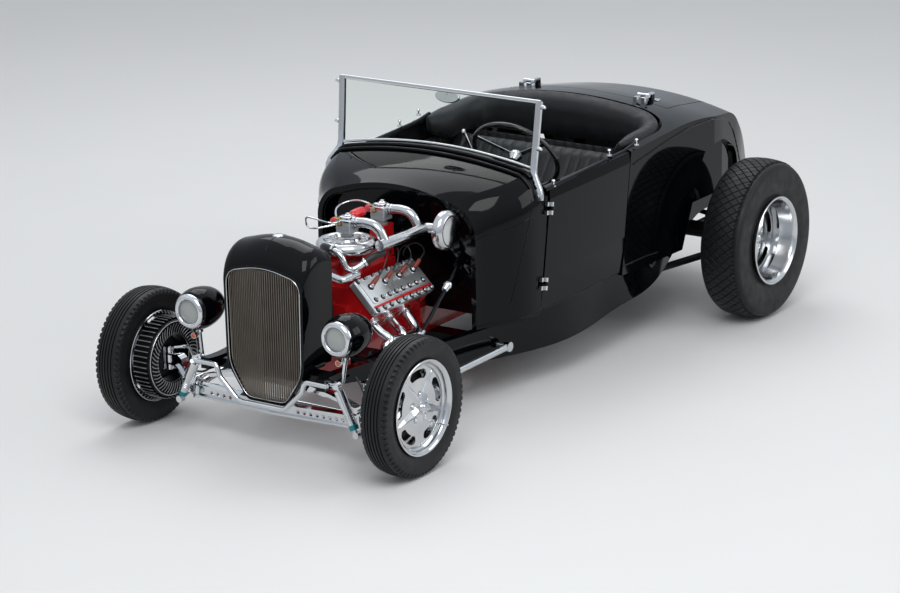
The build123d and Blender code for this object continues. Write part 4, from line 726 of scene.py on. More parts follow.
def rounded_slab(size_x, size_y, size_z, radius, edge):
    """A slab with rounded corners in plan and a soft upper edge, its foot at z 0."""
    corners, steps = [], 5
    for cx, cy, start in ((1, 1, 0), (-1, 1, pi / 2), (-1, -1, pi), (1, -1, 1.5 * pi)):
        for k in range(steps + 1):
            angle = start + pi / 2 * k / steps
            corners.append((cx * (size_x / 2 - radius) + radius * cos(angle),
                            cy * (size_y / 2 - radius) + radius * sin(angle)))
    mesh = bmesh.new()
    rings = []
    for inset, z in ((0, 0), (0, size_z - edge), (edge * 0.3, size_z - edge * 0.3), (edge, size_z)):
        rings.append([mesh.verts.new((x * (1 - 2 * inset / size_x), y * (1 - 2 * inset / size_y), z))
                      for x, y in corners])
    for low, high in zip(rings, rings[1:]):
        for k in range(len(corners)):
            m = (k + 1) % len(corners)
            mesh.faces.new((low[k], low[m], high[m], high[k]))
    mesh.faces.new(rings[-1])
    mesh.faces.new(list(reversed(rings[0])))
    return mesh


# brushed engine enamel over cast iron: a warm red with a slight orange peel
engine_red = surface("engine_enamel", ("#a50d12", "#bf171b"), rough=(0.16, 0.28), grain=(1.6, 0.05),
                     coat=0.6)
# die-cast zinc, left bare: grey, fine grained, half dull
cast_grey = surface("die_cast_zinc", ("#94979a", "#a9acaf"), metallic=0.55, rough=(0.38, 0.5),
                    grain=(1.0, 0.06))
# moulded rubber: black, soft and dull
rubber = surface("moulded_rubber", ("#0b0b0c", "#151516"), rough=(0.5, 0.65), grain=(0.8, 0.05))
dress(engine_red, "engine_block", "intake_manifold")
dress(rubber, "belt_drive")
# a line of red paint, laid on by brush: a little duller than the block
stripe_red = surface("painted_red_line", ("#a80f14", "#b81a1e"), rough=(0.3, 0.4), grain=(0.8, 0.02))
# moulded silicone boots: a dull red brown
boot_brown = surface("moulded_brown_boots", ("#6d2416", "#85301d"), rough=(0.35, 0.5), grain=(1.0, 0.03))
# silicone cable: black with a soft sheen
lead_black = surface("silicone_plug_lead", ("#0c0c0d", "#141415"), rough=(0.4, 0.5), grain=(0.8, 0.02))
# brass from the lathe: yellow, with fine turning marks
brass = surface("turned_brass", ("#9c7a3c", "#b08d4a"), metallic=1.0, rough=(0.2, 0.3),
                grain=(0.6, 0.01))

heads, nuts, painted_shade_rings, stripes, boots, leads = (bmesh.new() for _ in range(6))
# thin black discs under the head nuts and round the plug bosses: painted shade of the recesses there,
# not real washers
shade_ring_line = [(0.0, 0.0), (0.0122, 0.0), (0.0122, 0.0010), (0.0116, 0.0014), (0.0, 0.0014)]
for side in (-1, 1):
    bank = on_bank(side)
    merge(heads, rounded_slab(0.172, 0.440, 0.0300, 0.012, 0.004),
          bank @ Matrix.Translation((0, 0, 0.0003)))
    merge(heads, rounded_slab(0.118, 0.400, 0.0058, 0.020, 0.003),
          bank @ Matrix.Translation((-0.012 * side, 0, 0.0302)))
    for number in range(4):
        merge(heads, turned([(0.0, 0.003), (0.011, 0.003), (0.017, 0.0), (0.017, -0.004), (0.0, -0.004)],
                            28, closed=False),
              bank @ Matrix.Translation((PLUG_X * side, PLUG_FIRST + PLUG_PITCH * number, 0.0368)))
    places = [(0.074, -0.200 + 0.050 * number, HEAD_TOP) for number in range(9)]
    places += [(-0.077, -0.196 + 0.056 * number, HEAD_TOP) for number in range(8)]
    places += [(0.030, -0.175 + 0.050 * number, HEAD_TOP + 0.0057) for number in range(8)]
    for x, y, z in places:
        at = bank @ Matrix.Translation((x * side, y, z))
        merge(nuts, nut_mesh(0.0076, 0.015), at)
        # a black disc of painted shade under each nut
        merge(painted_shade_rings, turned(shade_ring_line, 24, closed=False), at)
    merge(stripes, rounded_slab(0.0105, 0.424, 0.0014, 0.003, 0.0006),
          bank @ Matrix.Translation((0.0585 * side, 0, HEAD_TOP)))
    for number in range(4):
        at = bank @ Matrix.Translation((PLUG_X * side, PLUG_FIRST + PLUG_PITCH * number, 0.040))
        merge(nuts, turned([(0.0, 0.0), (0.0095, 0.0), (0.0095, 0.008), (0.0065, 0.010), (0.0065, 0.018),
                            (0.0, 0.018)], 16, closed=False), at)
        # a wider black disc of painted shade round each plug boss
        merge(painted_shade_rings, turned([(r * 1.25, z + 0.0002) for r, z in shade_ring_line], 24, closed=False), at)
        lean = at @ Matrix.Rotation(BOOT_OUT * side, 4, "Y") @ Matrix.Rotation(BOOT_BACK, 4, "X")
        merge(boots, turned([(0.0, 0.002), (0.0105, 0.002), (0.0118, 0.008), (0.0108, 0.030),
                             (0.0088, 0.048), (0.0068, 0.056), (0.0, 0.057)], 20, closed=False), lean)
        start = lean @ Vector((0, 0, 0.048))
        away = (lean @ Vector((0, 0, 0.090))) - start
        rise = start + away
        end = Vector((side * (0.045 + 0.012 * number), -0.730 + 0.014 * number, 0.640))
        crest = rise.lerp(end, 0.5) + Vector((0, 0.02, 0.055))
        merge(leads, tube([start, start + away * 0.6, rise + Vector((0, 0.012, 0.012)), crest,
                           end + Vector((0, 0, 0.03)), end], 0.0034, 8, 5))
# sanded and buffed aluminium: brighter and softer than the wheels, so it stays pale from every side
buffed = surface("buffed_cast_aluminium", ("#cfd2d4", "#dfe1e2"), metallic=0.85, rough=(0.24, 0.36),
                 grain=(1.2, 0.02))
polished_heads = mesh_piece("bare_polished_heads", heads, buffed, "car", smooth=32)
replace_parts(polished_heads, "cylinder_heads")
mesh_piece("head_nuts", nuts, chrome, "car", smooth=32)
# the black discs are painted shade round each nut and plug boss
mesh_piece("painted_shade_rings_round_nuts", painted_shade_rings, satin_black, "car", smooth=32)
mesh_piece("painted_head_lines", stripes, stripe_red, "car", smooth=32)
mesh_piece("plug_boots", boots, boot_brown, "car", smooth=40)
mesh_piece("plug_leads", leads, lead_black, "car", smooth=60)

# The blower
# A flat round scroll: one fat polished tube bent into a ring about a ribbed plate, bolted down
# at its rim. A rubber belt in front of it drives it.

BLOWER = Vector((0.014, -1.011, 0.7597))
ring_section = [(0.106 + 0.028 * cos(a), 0.028 * sin(a)) for a in (tau * k / 24 for k in range(24))]
scroll = turned(ring_section, 96)
plate = [(0.0, 0.0212), (0.044, 0.0212), (0.048, 0.0225), (0.052, 0.0325), (0.056, 0.0332),
         (0.060, 0.0325), (0.064, 0.0235), (0.070, 0.0218), (0.094, 0.0205), (0.098, 0.018),
         (0.098, -0.018), (0.0, -0.018)]
merge(scroll, turned(plate, 72, closed=False))
PLATE_RIBS, PLATE_NUTS = 16, 8
for number in range(PLATE_RIBS):
    spin = Matrix.Rotation(tau * number / PLATE_RIBS, 4, "Z")
    merge(scroll, rounded_slab(0.024, 0.0035, 0.0045, 0.0016, 0.0012),
          spin @ Matrix.Translation((0.0785, 0, 0.0205)))
blower_nuts = bmesh.new()
for number in range(PLATE_NUTS):
    spin = Matrix.Rotation(tau * (number + 0.5) / PLATE_NUTS, 4, "Z")
    merge(blower_nuts, nut_mesh(0.0055, 0.009), spin @ Matrix.Translation((0.088, 0, 0.0208)))
scroll.transform(Matrix.Translation(BLOWER))
blower_nuts.transform(Matrix.Translation(BLOWER))
blower_piece = mesh_piece("polished_blower_scroll", scroll, polished, "car",
                          smooth=35)
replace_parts(blower_piece, "blower")
mesh_piece("blower_nuts", blower_nuts, chrome, "car", smooth=32)

# Carburettors
# Two side-draught carburettors in grey zinc with bright lids, held by small hexagon screws. Each has
# a red float cap towards the car's right and brass unions where the steel fuel lines join.

CARB_X, CARB_Z = 0.018, 0.846
CARB_YS = (-1.011, -0.757)
FUEL_LINE_R = 0.0042
# moulded nylon cap: a clean glossy red
cap_red = surface("moulded_red_cap", ("#c4121a", "#d8232a"), rough=(0.25, 0.35), grain=(1.0, 0.02),
                  coat=0.4)
zinc, lids, brasses, caps, fuel = (bmesh.new() for _ in range(5))
for y in CARB_YS:
    at = Matrix.Translation((CARB_X, y, CARB_Z))
    merge(zinc, rounded_slab(0.074, 0.066, 0.050, 0.007, 0.002), at @ Matrix.Translation((0, 0, -0.031)))
    merge(zinc, turned([(0.0, -0.053), (0.028, -0.053), (0.028, -0.047), (0.023, -0.045),
                        (0.021, -0.036), (0.026, -0.031), (0.0, -0.031)], 32, closed=False), at)
    for level in (-0.012, 0.002):
        merge(zinc, rounded_slab(0.0775, 0.0695, 0.002, 0.008, 0.0008),
              at @ Matrix.Translation((0, 0, level)))
    merge(lids, rounded_slab(0.080, 0.072, 0.009, 0.010, 0.002), at @ Matrix.Translation((0, 0, 0.019)))
    merge(lids, rounded_slab(0.056, 0.050, 0.012, 0.012, 0.003), at @ Matrix.Translation((0, 0, 0.028)))
    merge(lids, turned([(0.0, 0.0), (0.017, 0.0), (0.017, 0.005), (0.0105, 0.008), (0.009, 0.014),
                        (0.0, 0.016)], 28, closed=False), at @ Matrix.Translation((0.006, 0, 0.039)))
    for sx in (-1, 1):
        for sy in (-1, 1):
            merge(lids, nut_mesh(0.0038, 0.005),
                  at @ Matrix.Translation((sx * 0.033, sy * 0.029, 0.028)))
    merge(brasses, nut_mesh(0.008, 0.020),
          at @ Matrix.Translation((-0.010, -0.033, 0.010)) @ Matrix.Rotation(pi / 2, 4, "X"))
    merge(brasses, nut_mesh(0.007, 0.016),
          at @ Matrix.Translation((-0.026, -0.031, 0.030)) @ Matrix.Rotation(pi / 2, 4, "X"))
    dome = [(0.0, 0.052), (0.008, 0.050), (0.015, 0.043), (0.0185, 0.032), (0.019, 0.012),
            (0.022, 0.010), (0.022, 0.0), (0.0, 0.0)]
    merge(caps, turned(dome, 36, closed=False),
          at @ Matrix.Translation((-0.036, 0.004, 0.006)) @ Matrix.Rotation(-pi / 2, 4, "Y"))
merge(caps, turned([(0.0, 0.056), (0.012, 0.050), (0.020, 0.036), (0.022, 0.018), (0.022, -0.018),
                    (0.020, -0.036), (0.012, -0.050), (0.0, -0.056)], 36, closed=False),
      Matrix.Translation((-0.016, -0.884, 0.864)) @ Matrix.Rotation(pi / 2, 4, "X"))
loop = [(0.008, -1.052, 0.866), (0.006, -1.090, 0.868), (-0.020, -1.108, 0.874), (-0.090, -1.108, 0.884),
        (-0.128, -1.106, 0.884), (-0.132, -1.104, 0.862), (-0.130, -1.098, 0.836),
        (-0.100, -1.090, 0.830), (-0.060, -1.060, 0.838), (-0.030, -1.034, 0.846)]
merge(fuel, tube(loop, FUEL_LINE_R, 10, 6))
long_line = [(0.008, -0.797, 0.876), (0.004, -0.830, 0.900), (-0.030, -0.880, 0.922),
             (-0.050, -0.960, 0.918), (-0.040, -1.020, 0.904), (-0.016, -1.040, 0.884)]
merge(fuel, tube(long_line, FUEL_LINE_R, 10, 6))
carbs = mesh_piece("zinc_carburettor_bodies", zinc, cast_grey, "car", smooth=35)
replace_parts(carbs, "carburettors")
mesh_piece("carburettor_lids", lids, chrome, "car", smooth=35)
mesh_piece("brass_unions", brasses, brass, "car", smooth=32)
mesh_piece("red_float_caps", caps, cap_red, "car", smooth=45)
mesh_piece("steel_fuel_lines", fuel, chrome, "car", smooth=60)

# Intake tubes and the air cleaner
# Bent and polished steel tube: an elbow leaves each carburettor, drops into one long pipe, and that
# runs back to a round cleaner with a plain bulged face. Steel bands clamp the joints.

ELBOW_R, MAIN_R = 0.0215, 0.0245
CLEANER = Vector((0.322, -0.704, 0.790))
tubes, bands = bmesh.new(), bmesh.new()
for y in CARB_YS:
    elbow = [(0.055, y, 0.862), (0.085, y, 0.866), (0.120, y + 0.002, 0.868), (0.160, y + 0.004, 0.862),
             (0.186, y + 0.008, 0.838), (0.200, y + 0.012, 0.805), (0.208, y + 0.016, 0.786)]
    merge(tubes, tube(elbow, ELBOW_R, 24, 8))
    for reach, wide in ((0.060, 0.010), (0.078, 0.006)):
        merge(bands, turned([(0.0225, -wide / 2), (0.0245, -wide / 2), (0.0245, wide / 2),
                             (0.0225, wide / 2)], 32),
              Matrix.Translation((reach, y, 0.863)) @ Matrix.Rotation(pi / 2, 4, "Y"))
main = [(0.205, -1.040, 0.786), (0.208, -0.990, 0.786), (0.212, -0.900, 0.786), (0.214, -0.800, 0.787),
        (0.216, -0.735, 0.788), (0.222, -0.708, 0.789), (0.248, -0.704, 0.790), (0.300, -0.704, 0.790)]
merge(tubes, tube(main, MAIN_R, 24, 8))
tube_set = mesh_piece("polished_intake_tubes", tubes, polished, "car", smooth=50)
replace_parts(tube_set, "intake_tubes")
merge(bands, turned([(0.0255, -0.006), (0.0275, -0.006), (0.0275, 0.006), (0.0255, 0.006)], 36),
      Matrix.Translation((0.282, -0.704, 0.790)) @ Matrix.Rotation(pi / 2, 4, "Y"))
mesh_piece("tube_clamps", bands, chrome, "car", smooth=40)
face = [(0.0, 0.0290), (0.020, 0.0288), (0.040, 0.0278), (0.058, 0.0255), (0.066, 0.0238),
        (0.068, 0.0250), (0.071, 0.0252), (0.074, 0.0225), (0.081, 0.0160), (0.0865, 0.0090),
        (0.0880, 0.0020), (0.0880, -0.0150), (0.0860, -0.0200), (0.0800, -0.0240), (0.0300, -0.0240),
        (0.0270, -0.0236), (0.0, -0.0236)]
cleaner = turned(face, 96, closed=False)
cleaner.transform(Matrix.Translation(CLEANER) @ Matrix.Rotation(pi / 2, 4, "Y"))
cleaner_piece = mesh_piece("round_air_cleaner", cleaner, polished, "car", smooth=50)
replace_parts(cleaner_piece, "air_cleaner")

# Exhaust headers
# One mandrel-bent tube a side runs forward under the head and takes in two short ones from flanged
# ports, then turns down and back under the floor to end before the rear axle. All of it is plated.

PORT = Vector((0.1791, 0, 0.4463))
LONG_TUBE_R, SHORT_TUBE_R = 0.0225, 0.0205
headers = bmesh.new()
out = Vector((1, 0, -1)).normalized()
flange_turn = out.to_track_quat("Z", "Y").to_matrix().to_4x4()
rear_port, middle_port, front_port = (PORT + Vector((0, y, 0)) for y in (-0.837, -0.949, -1.064))
long_tube = [rear_port, rear_port + out * 0.050,
             rear_port + out * 0.098 + Vector((0.004, -0.012, -0.006)), (0.266, -0.880, 0.362),
             (0.266, -0.940, 0.366), (0.264, -1.000, 0.374), (0.262, -1.050, 0.377),
             (0.256, -1.080, 0.364), (0.250, -1.090, 0.330), (0.247, -1.088, 0.280),
             (0.250, -1.068, 0.205), (0.262, -1.010, 0.148), (0.284, -0.900, 0.134),
             (0.300, -0.760, 0.132), (0.300, -0.300, 0.137), (0.300, 0.200, 0.145),
             (0.300, 0.611, 0.152)]
merge(headers, tube(long_tube, LONG_TUBE_R, 24, 10))
for port, low in ((middle_port, Vector((0.264, -0.972, 0.370))),
                  (front_port, Vector((0.261, -1.062, 0.374)))):
    merge(headers, tube([port, port + out * 0.046, port.lerp(low, 0.78) + Vector((0.014, 0.004, 0.004)),
                         low + Vector((0.002, 0.004, 0.004)), low + Vector((0, -0.012, 0))],
                        SHORT_TUBE_R, 24, 8))
for port in (rear_port, middle_port, front_port):
    merge(headers, rounded_slab(0.062, 0.052, 0.007, 0.016, 0.002),
          Matrix.Translation(port) @ flange_turn)
header_piece = mesh_piece("bent_header_pipes", on_both_sides(headers), chrome, "car",
                          smooth=60)
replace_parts(header_piece, "exhaust_pipes")

# Coolant pipes
# A short steel pipe bends in an S before the blower, polished, with a black hose and two worm-drive
# clamps at each end. The pipes behind it run from the radiator's necks to the heads.

dress(chrome, "coolant_pipe")
BEND_R, COOLANT_HOSE_R = 0.0135, 0.0170
# cloth-wrapped rubber hose: black, dull and faintly ribbed
hose_black = surface("ribbed_coolant_hose", ("#0d0d0e", "#17171a"), rough=(0.4, 0.55), grain=(0.9, 0.06))
bend, hoses, worm_clamps = bmesh.new(), bmesh.new(), bmesh.new()
s_line = [Vector(p) for p in ((0.036, -1.146, 0.772), (0.066, -1.150, 0.766), (0.092, -1.149, 0.738),
                              (0.100, -1.140, 0.700), (0.114, -1.118, 0.684), (0.138, -1.088, 0.700),
                              (0.152, -1.066, 0.716))]
merge(bend, tube(s_line, BEND_R, 20, 8))
merge(hoses, tube([(-0.060, -1.090, 0.748), (-0.034, -1.118, 0.766), (0.000, -1.138, 0.776),
                   (0.046, -1.148, 0.771)], COOLANT_HOSE_R, 20, 8))
merge(hoses, tube([(0.146, -1.075, 0.709), (0.166, -1.052, 0.728), (0.184, -1.020, 0.742),
                   (0.186, -0.985, 0.742)], COOLANT_HOSE_R, 20, 8))
clamp_line = [(0.0168, -0.005), (0.0186, -0.005), (0.0186, 0.005), (0.0168, 0.005)]
for place, aim in (((0.040, -1.1470, 0.7718), (1, -0.1, -0.1)),
                   ((0.149, -1.0710, 0.7125), (0.5, 0.7, 0.5))):
    turn_to = Vector(aim).to_track_quat("Z", "Y").to_matrix().to_4x4()
    merge(worm_clamps, turned(clamp_line, 36), Matrix.Translation(place) @ turn_to)
    merge(worm_clamps, rounded_slab(0.016, 0.007, 0.006, 0.002, 0.001),
          Matrix.Translation(place) @ turn_to @ Matrix.Translation((0, 0.0185, 0)))
mesh_piece("polished_s_bend", bend, chrome, "car", smooth=60)
mesh_piece("coolant_hoses", hoses, hose_black, "car", smooth=60)
mesh_piece("hose_clamps", worm_clamps, chrome, "car", smooth=40)

# The grille and the radiator
# Upright rolled strips with round noses stand in a shallow vee, anodised a warm grey and tied by two
# cross rods, before a black core. A thin plated bead edges the opening in the shell.

RIM_Y, MOUTH_Y, VEE, BARS, BAR_PITCH = -1.573, -1.591, 0.026, 17, 0.0104
RIM_R, TIE_R, BEAD_R, MOUTH_STEPS = 0.0026, 0.0016, 0.0020, 120
BAR_SECTION = [(-0.0016, 0.005), (-0.0016, -0.0034), (-0.0009, -0.0047), (0.0, -0.005),
               (0.0009, -0.0047), (0.0016, -0.0034), (0.0016, 0.005)]
# anodised strip: a warm dull metal, each bar with a lighter edge from the low sheen
bar_grey = surface("anodised_grey_bars", ("#8a837a", "#a29a90"), metallic=0.9, rough=(0.28, 0.40),
                   grain=(0.8, 0.01))


def skin_of(*names):
    """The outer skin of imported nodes, to fit trim to."""
    mesh = bmesh.new()
    for name in names:
        mesh.from_mesh(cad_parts[name].data)
    tree = BVHTree.FromBMesh(mesh)
    mesh.free()
    return tree


packed_grille = skin_of("grille_insert")


def opening_edge(x, z, aim):
    """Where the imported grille's rim is met from outside."""
    return packed_grille.ray_cast(Vector((x, RIM_Y, z)), Vector(aim))[0]


bars = bmesh.new()
for number in range(-BARS, BARS + 1):
    x = number * BAR_PITCH
    y = MOUTH_Y + 0.016 - VEE * (1 - abs(number) / BARS)
    low, high = opening_edge(x, 0.0, (0, 0, 1)), opening_edge(x, 1.2, (0, 0, -1))
    ends = [[bars.verts.new((x + dx, y + dy, z)) for dx, dy in BAR_SECTION]
            for z in (low.z + 0.003, high.z - 0.003)]
    for k in range(len(BAR_SECTION)):
        bars.faces.new([ends[0][k - 1], ends[0][k], ends[1][k], ends[1][k - 1]])
    bars.faces.new(ends[0][::-1])
    bars.faces.new(ends[1])
bmesh.ops.recalc_face_normals(bars, faces=bars.faces)
middle = (opening_edge(0, 0.0, (0, 0, 1)).z + opening_edge(0, 1.2, (0, 0, -1)).z) / 2
mouth = []
for k in range(MOUTH_STEPS + 1):
    aim = Vector((cos(tau * k / MOUTH_STEPS), 0, sin(tau * k / MOUTH_STEPS)))
    mouth.append(opening_edge(aim.x, middle + aim.z, -aim))
merge(bars, tube(mouth, RIM_R, 8, 1))
for side in (-1, 1):
    for z in (0.372, 0.620):
        merge(bars,
              tube([(0, MOUTH_Y + 0.020 - VEE, z), (side * 0.192, MOUTH_Y + 0.022, z)], TIE_R, 8, 1))
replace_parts(mesh_piece("grille_bars", bars, bar_grey, "car", smooth=30), "grille_insert")
bead = [Vector((edge.x, MOUTH_Y - 0.0004, edge.z)) for edge in mouth]
mesh_piece("grille_mouth_bead", tube(bead, BEAD_R, 10, 1), chrome, "car", smooth=60)
dress(satin_black, "radiator")

# The lamps
# Bullet buckets in gloss enamel with a bright spun rim, a fluted glass and a silvered bowl behind
# it. Each stands on one plated strut.

LAMP = Vector((0.382, -1.617, 0.551))
FLUTE_MM = 8.727
# pressed lamp glass: pale and milky from its flutes, so that the bowl shows only as a soft glow; a
# wave of scale 1 has a period of tau / 20
lens_clear, tree = bare_material("fluted_lamp_glass")
place = add(tree, "ShaderNodeTexCoord").outputs["Object"]
flutes = add(tree, "ShaderNodeTexWave", {"Vector": place, "Scale": tau / 20 * 1000 / FLUTE_MM,
                                         "Distortion": 0.3}, bands_direction="X")
ripple = add(tree, "ShaderNodeBump",
             {"Height": flutes.outputs["Fac"], "Strength": 0.12, "Distance": 0.0006})
glass = add(tree, "ShaderNodeBsdfPrincipled", {"Base Color": linear("#b9bebd"), "Roughness": 0.03,
                                               "IOR": 1.5, "Transmission Weight": 0.35,
                                               "Normal": ripple.outputs[0]})
add(tree, "ShaderNodeOutputMaterial", {"Surface": glass.outputs[0]})
# vacuum-silvered bowl: bright and a little diffuse, so the lens glows evenly
silvered = surface("vacuum_silvered_steel", ("#e4e7e9", "#f4f5f6"), metallic=1.0, rough=(0.20, 0.30),
                   grain=(3.0, 0.01))
bucket_line = [(0.0, -0.226), (0.010, -0.2255), (0.024, -0.219), (0.044, -0.203), (0.064, -0.178),
               (0.079, -0.148), (0.087, -0.115), (0.0905, -0.085), (0.0908, -0.066), (0.088, -0.045),
               (0.084, -0.034), (0.0835, -0.030), (0.078, -0.020), (0.074, -0.0155), (0.066, -0.0155),
               (0.0, -0.060)]
rim_line = [(0.0500, -0.0060), (0.0520, -0.0010), (0.0560, 0.0025), (0.0610, 0.0038), (0.0665, 0.0020),
            (0.0720, -0.0030), (0.0755, -0.0090), (0.0762, -0.0150), (0.0745, -0.0160),
            (0.0640, -0.0160), (0.0520, -0.0120)]
lens_line = [(0.0, -0.0020), (0.015, -0.0026), (0.030, -0.0050), (0.042, -0.0085), (0.0515, -0.0122),
             (0.0515, -0.0160), (0.030, -0.0090), (0.0, -0.0060)]
bowl_line = [(0.0515, -0.0170), (0.046, -0.030), (0.036, -0.044), (0.022, -0.055), (0.008, -0.060),
             (0.0, -0.060)]
buckets, rims, lenses, bowls = (bmesh.new() for _ in range(4))
for side in (-1, 1):
    at = Matrix.Translation((side * LAMP.x, LAMP.y, LAMP.z)) @ Matrix.Rotation(pi / 2, 4, "X")
    merge(buckets, turned(bucket_line, 72, closed=False), at)
    merge(rims, turned(rim_line, 72), at)
    merge(rims, turned([(0.0, -0.046), (0.006, -0.044), (0.009, -0.036), (0.006, -0.028), (0.0, -0.026)],
                       20, closed=False), at)
    merge(lenses, turned(lens_line, 64, closed=False), at)
    merge(bowls, turned(bowl_line, 64, closed=False), at)
bucket_piece = mesh_piece("bullet_buckets", buckets, gloss_black, "car", smooth=40)
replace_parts(bucket_piece, "headlight_buckets")
rim_piece = mesh_piece("spun_lamp_rims", rims, chrome, "car", smooth=50)
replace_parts(rim_piece, "headlight_rims")
lens_piece = mesh_piece("fluted_lamp_lenses", lenses, lens_clear, "car", smooth=50)
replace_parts(lens_piece, "headlight_lenses")
mesh_piece("silvered_lamp_bowls", bowls, silvered, "car", smooth=60)

# Small lamps
# An amber signal in a chrome cup hangs under each headlight; a round red lamp in a chrome ring sits
# low on each side of the tail. The lenses are pressed acrylic, ribbed in rings.

SIGNAL, TAIL_LAMP = Vector((0.376, -1.581, 0.443)), Vector((0.330, 1.8024, 0.470))
# pressed acrylic: a clear deep colour under a wet gloss
amber = surface("pressed_amber_acrylic", ("#b04a08", "#cc5f10"), rough=(0.08, 0.15), grain=(2.0, 0.03),
                coat=0.6)
tail_red = surface("pressed_red_acrylic", ("#8c0a0e", "#a40f13"), rough=(0.08, 0.15), grain=(2.0, 0.03),
                   coat=0.6)
cups, ambers, reds = bmesh.new(), bmesh.new(), bmesh.new()
for side in (-1, 1):
    at = Matrix.Translation((side * SIGNAL.x, SIGNAL.y, SIGNAL.z)) @ Matrix.Rotation(pi / 2, 4, "X")
    merge(cups, turned([(0.0, -0.017), (0.008, -0.0165), (0.0125, -0.011), (0.0130, 0.006),
                        (0.0130, 0.011), (0.0110, 0.011), (0.0108, 0.0), (0.0, 0.0)], 32,
                       closed=False), at)
    merge(ambers, turned([(0.0, 0.0165), (0.005, 0.0160), (0.009, 0.0140), (0.0108, 0.0110),
                          (0.0108, 0.0060), (0.0, 0.0060)], 32, closed=False), at)
    at = (Matrix.Translation((side * TAIL_LAMP.x, TAIL_LAMP.y, TAIL_LAMP.z))
          @ Matrix.Rotation(-pi / 2, 4, "X"))
    merge(cups, turned([(0.0290, 0.0000), (0.0300, 0.0030), (0.0340, 0.0040), (0.0380, 0.0010),
                        (0.0385, -0.0060), (0.0365, -0.0500), (0.0290, -0.0500)], 48), at)
    rings = [(0.0, 0.0065)]
    for k in range(1, 6):
        rings += [(0.0058 * k - 0.0020, 0.0066 - 0.0009 * k), (0.0058 * k, 0.0052 - 0.0009 * k)]
    merge(reds, turned(rings + [(0.0292, -0.0100), (0.0, -0.0100)], 48, closed=False), at)
cup_piece = mesh_piece("chrome_lamp_cups", cups, chrome, "car", smooth=40)
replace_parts(cup_piece, "small_lamps")
mesh_piece("amber_signal_lenses", ambers, amber, "car", smooth=50)
mesh_piece("red_tail_lenses", reds, tail_red, "car", smooth=50)

# Mouldings on the body
# Half-round beads are rolled into the steel skin: along the scuttle's side and its rear edge, along
# the foot of scuttle, door and quarter panel, and in a sweep over the quarter panel.


def laid(tree, start, aim, sink=0.0):
    """Where a line from a start meets the skin, sunk in by a little; None where it misses."""
    place, normal, _, _ = tree.ray_cast(Vector(start), Vector(aim).normalized())
    if place is None:
        return None
    return place - normal * sink if normal.dot(Vector(aim)) < 0 else place + normal * sink


def bead_along(tree, points, radius):
    """A half-sunk bead on the skin under points in (y, z), seen from the car's left side."""
    found = []
    for y, z in points:
        hit = laid(tree, (1.2, y, z), (-1, 0, 0), 0.4 * radius)
        if hit is not None:
            found.append(hit)
    return tube(found, radius, 10, 4) if len(found) > 3 else bmesh.new()


def between(points):
    """The same broken line with more points along it, about 3 cm apart."""
    filled, step = [], 0.03
    for (y0, z0), (y1, z1) in zip(points, points[1:]):
        count = max(1, round(((y1 - y0) ** 2 + (z1 - z0) ** 2) ** 0.5 / step))
        filled += [(y0 + (y1 - y0) * k / count, z0 + (z1 - z0) * k / count) for k in range(count)]
    return filled + [points[-1]]


dress(gloss_black, "grille_shell", "cowl", "firewall", "dashboard", "rear_body", "door_left",
      "door_right")
scuttle = skin_of("cowl")
tail = skin_of("rear_body")
doors = skin_of("door_left")
cowl_beads, tail_beads, door_beads = bmesh.new(), bmesh.new(), bmesh.new()
merge(cowl_beads, bead_along(scuttle, between([(-0.622, 0.742), (-0.54, 0.764), (-0.46, 0.785),
                                               (-0.378, 0.812)]), 0.0045))
merge(cowl_beads, bead_along(scuttle, between([(-0.377, 0.883), (-0.40, 0.80), (-0.45, 0.62),
                                               (-0.499, 0.423)]), 0.0035))
merge(cowl_beads,
      bead_along(scuttle, between([(-0.622, 0.352), (-0.45, 0.362), (-0.35, 0.364)]), 0.0040))
sweep = [(0.396, 0.880), (0.684, 0.922), (0.915, 0.945), (1.124, 0.940), (1.250, 0.918), (1.330, 0.884),
         (1.392, 0.830), (1.440, 0.760), (1.500, 0.660), (1.560, 0.560), (1.62, 0.45)]
merge(tail_beads, bead_along(tail, between(sweep), 0.0060))
merge(tail_beads, bead_along(tail, between([(0.315, 0.420), (0.50, 0.418), (0.62, 0.410)]), 0.0040))
merge(door_beads,
      bead_along(doors, between([(-0.31, 0.372), (-0.1, 0.380), (0.1, 0.388), (0.285, 0.394)]), 0.0035))
other_door = other_side(door_beads)
mesh_piece("scuttle_beads", on_both_sides(cowl_beads), gloss_black, "car",
           smooth=60)
mesh_piece("quarter_beads", on_both_sides(tail_beads), gloss_black, "car",
           smooth=60)
mesh_piece("door_bead_left", door_beads, gloss_black, "door_left", smooth=60)
mesh_piece("door_bead_right", other_door, gloss_black, "door_right", smooth=60)
dress(chrome, "body_hinges")

# The grille shell's crease and cap
# The pressed shell has a raised crease down the middle of its crown. It runs back to a flush plated
# filler cap.

shell_skin = skin_of("grille_shell")
crease = [laid(shell_skin, (0, -1.586 + 0.188 * k / 24, 1.2), (0, 0, -1)) for k in range(25)]
crease = [p - Vector((0, 0, 0.0016)) for p in crease if p and p.z > 0.86]
mesh_piece("shell_crease", tube(crease, 0.0034, 12, 3), gloss_black, "car",
           smooth=60)
cap_place = laid(shell_skin, (0, -1.472, 1.2), (0, 0, -1))
filler = turned([(0.0, 0.0062), (0.012, 0.0056), (0.020, 0.0036), (0.0235, 0.0010), (0.0240, -0.0040),
                 (0.0, -0.0040)], 48, closed=False)
filler.transform(Matrix.Translation(cap_place))
mesh_piece("flush_filler_cap", filler, chrome, "car", smooth=50)

# The windscreen
# Two broad plated posts stand on the scuttle's corners, held by domed screws. Plated bars run above
# and below a flat pane of laminated glass, which sits in rubber strips in the posts.


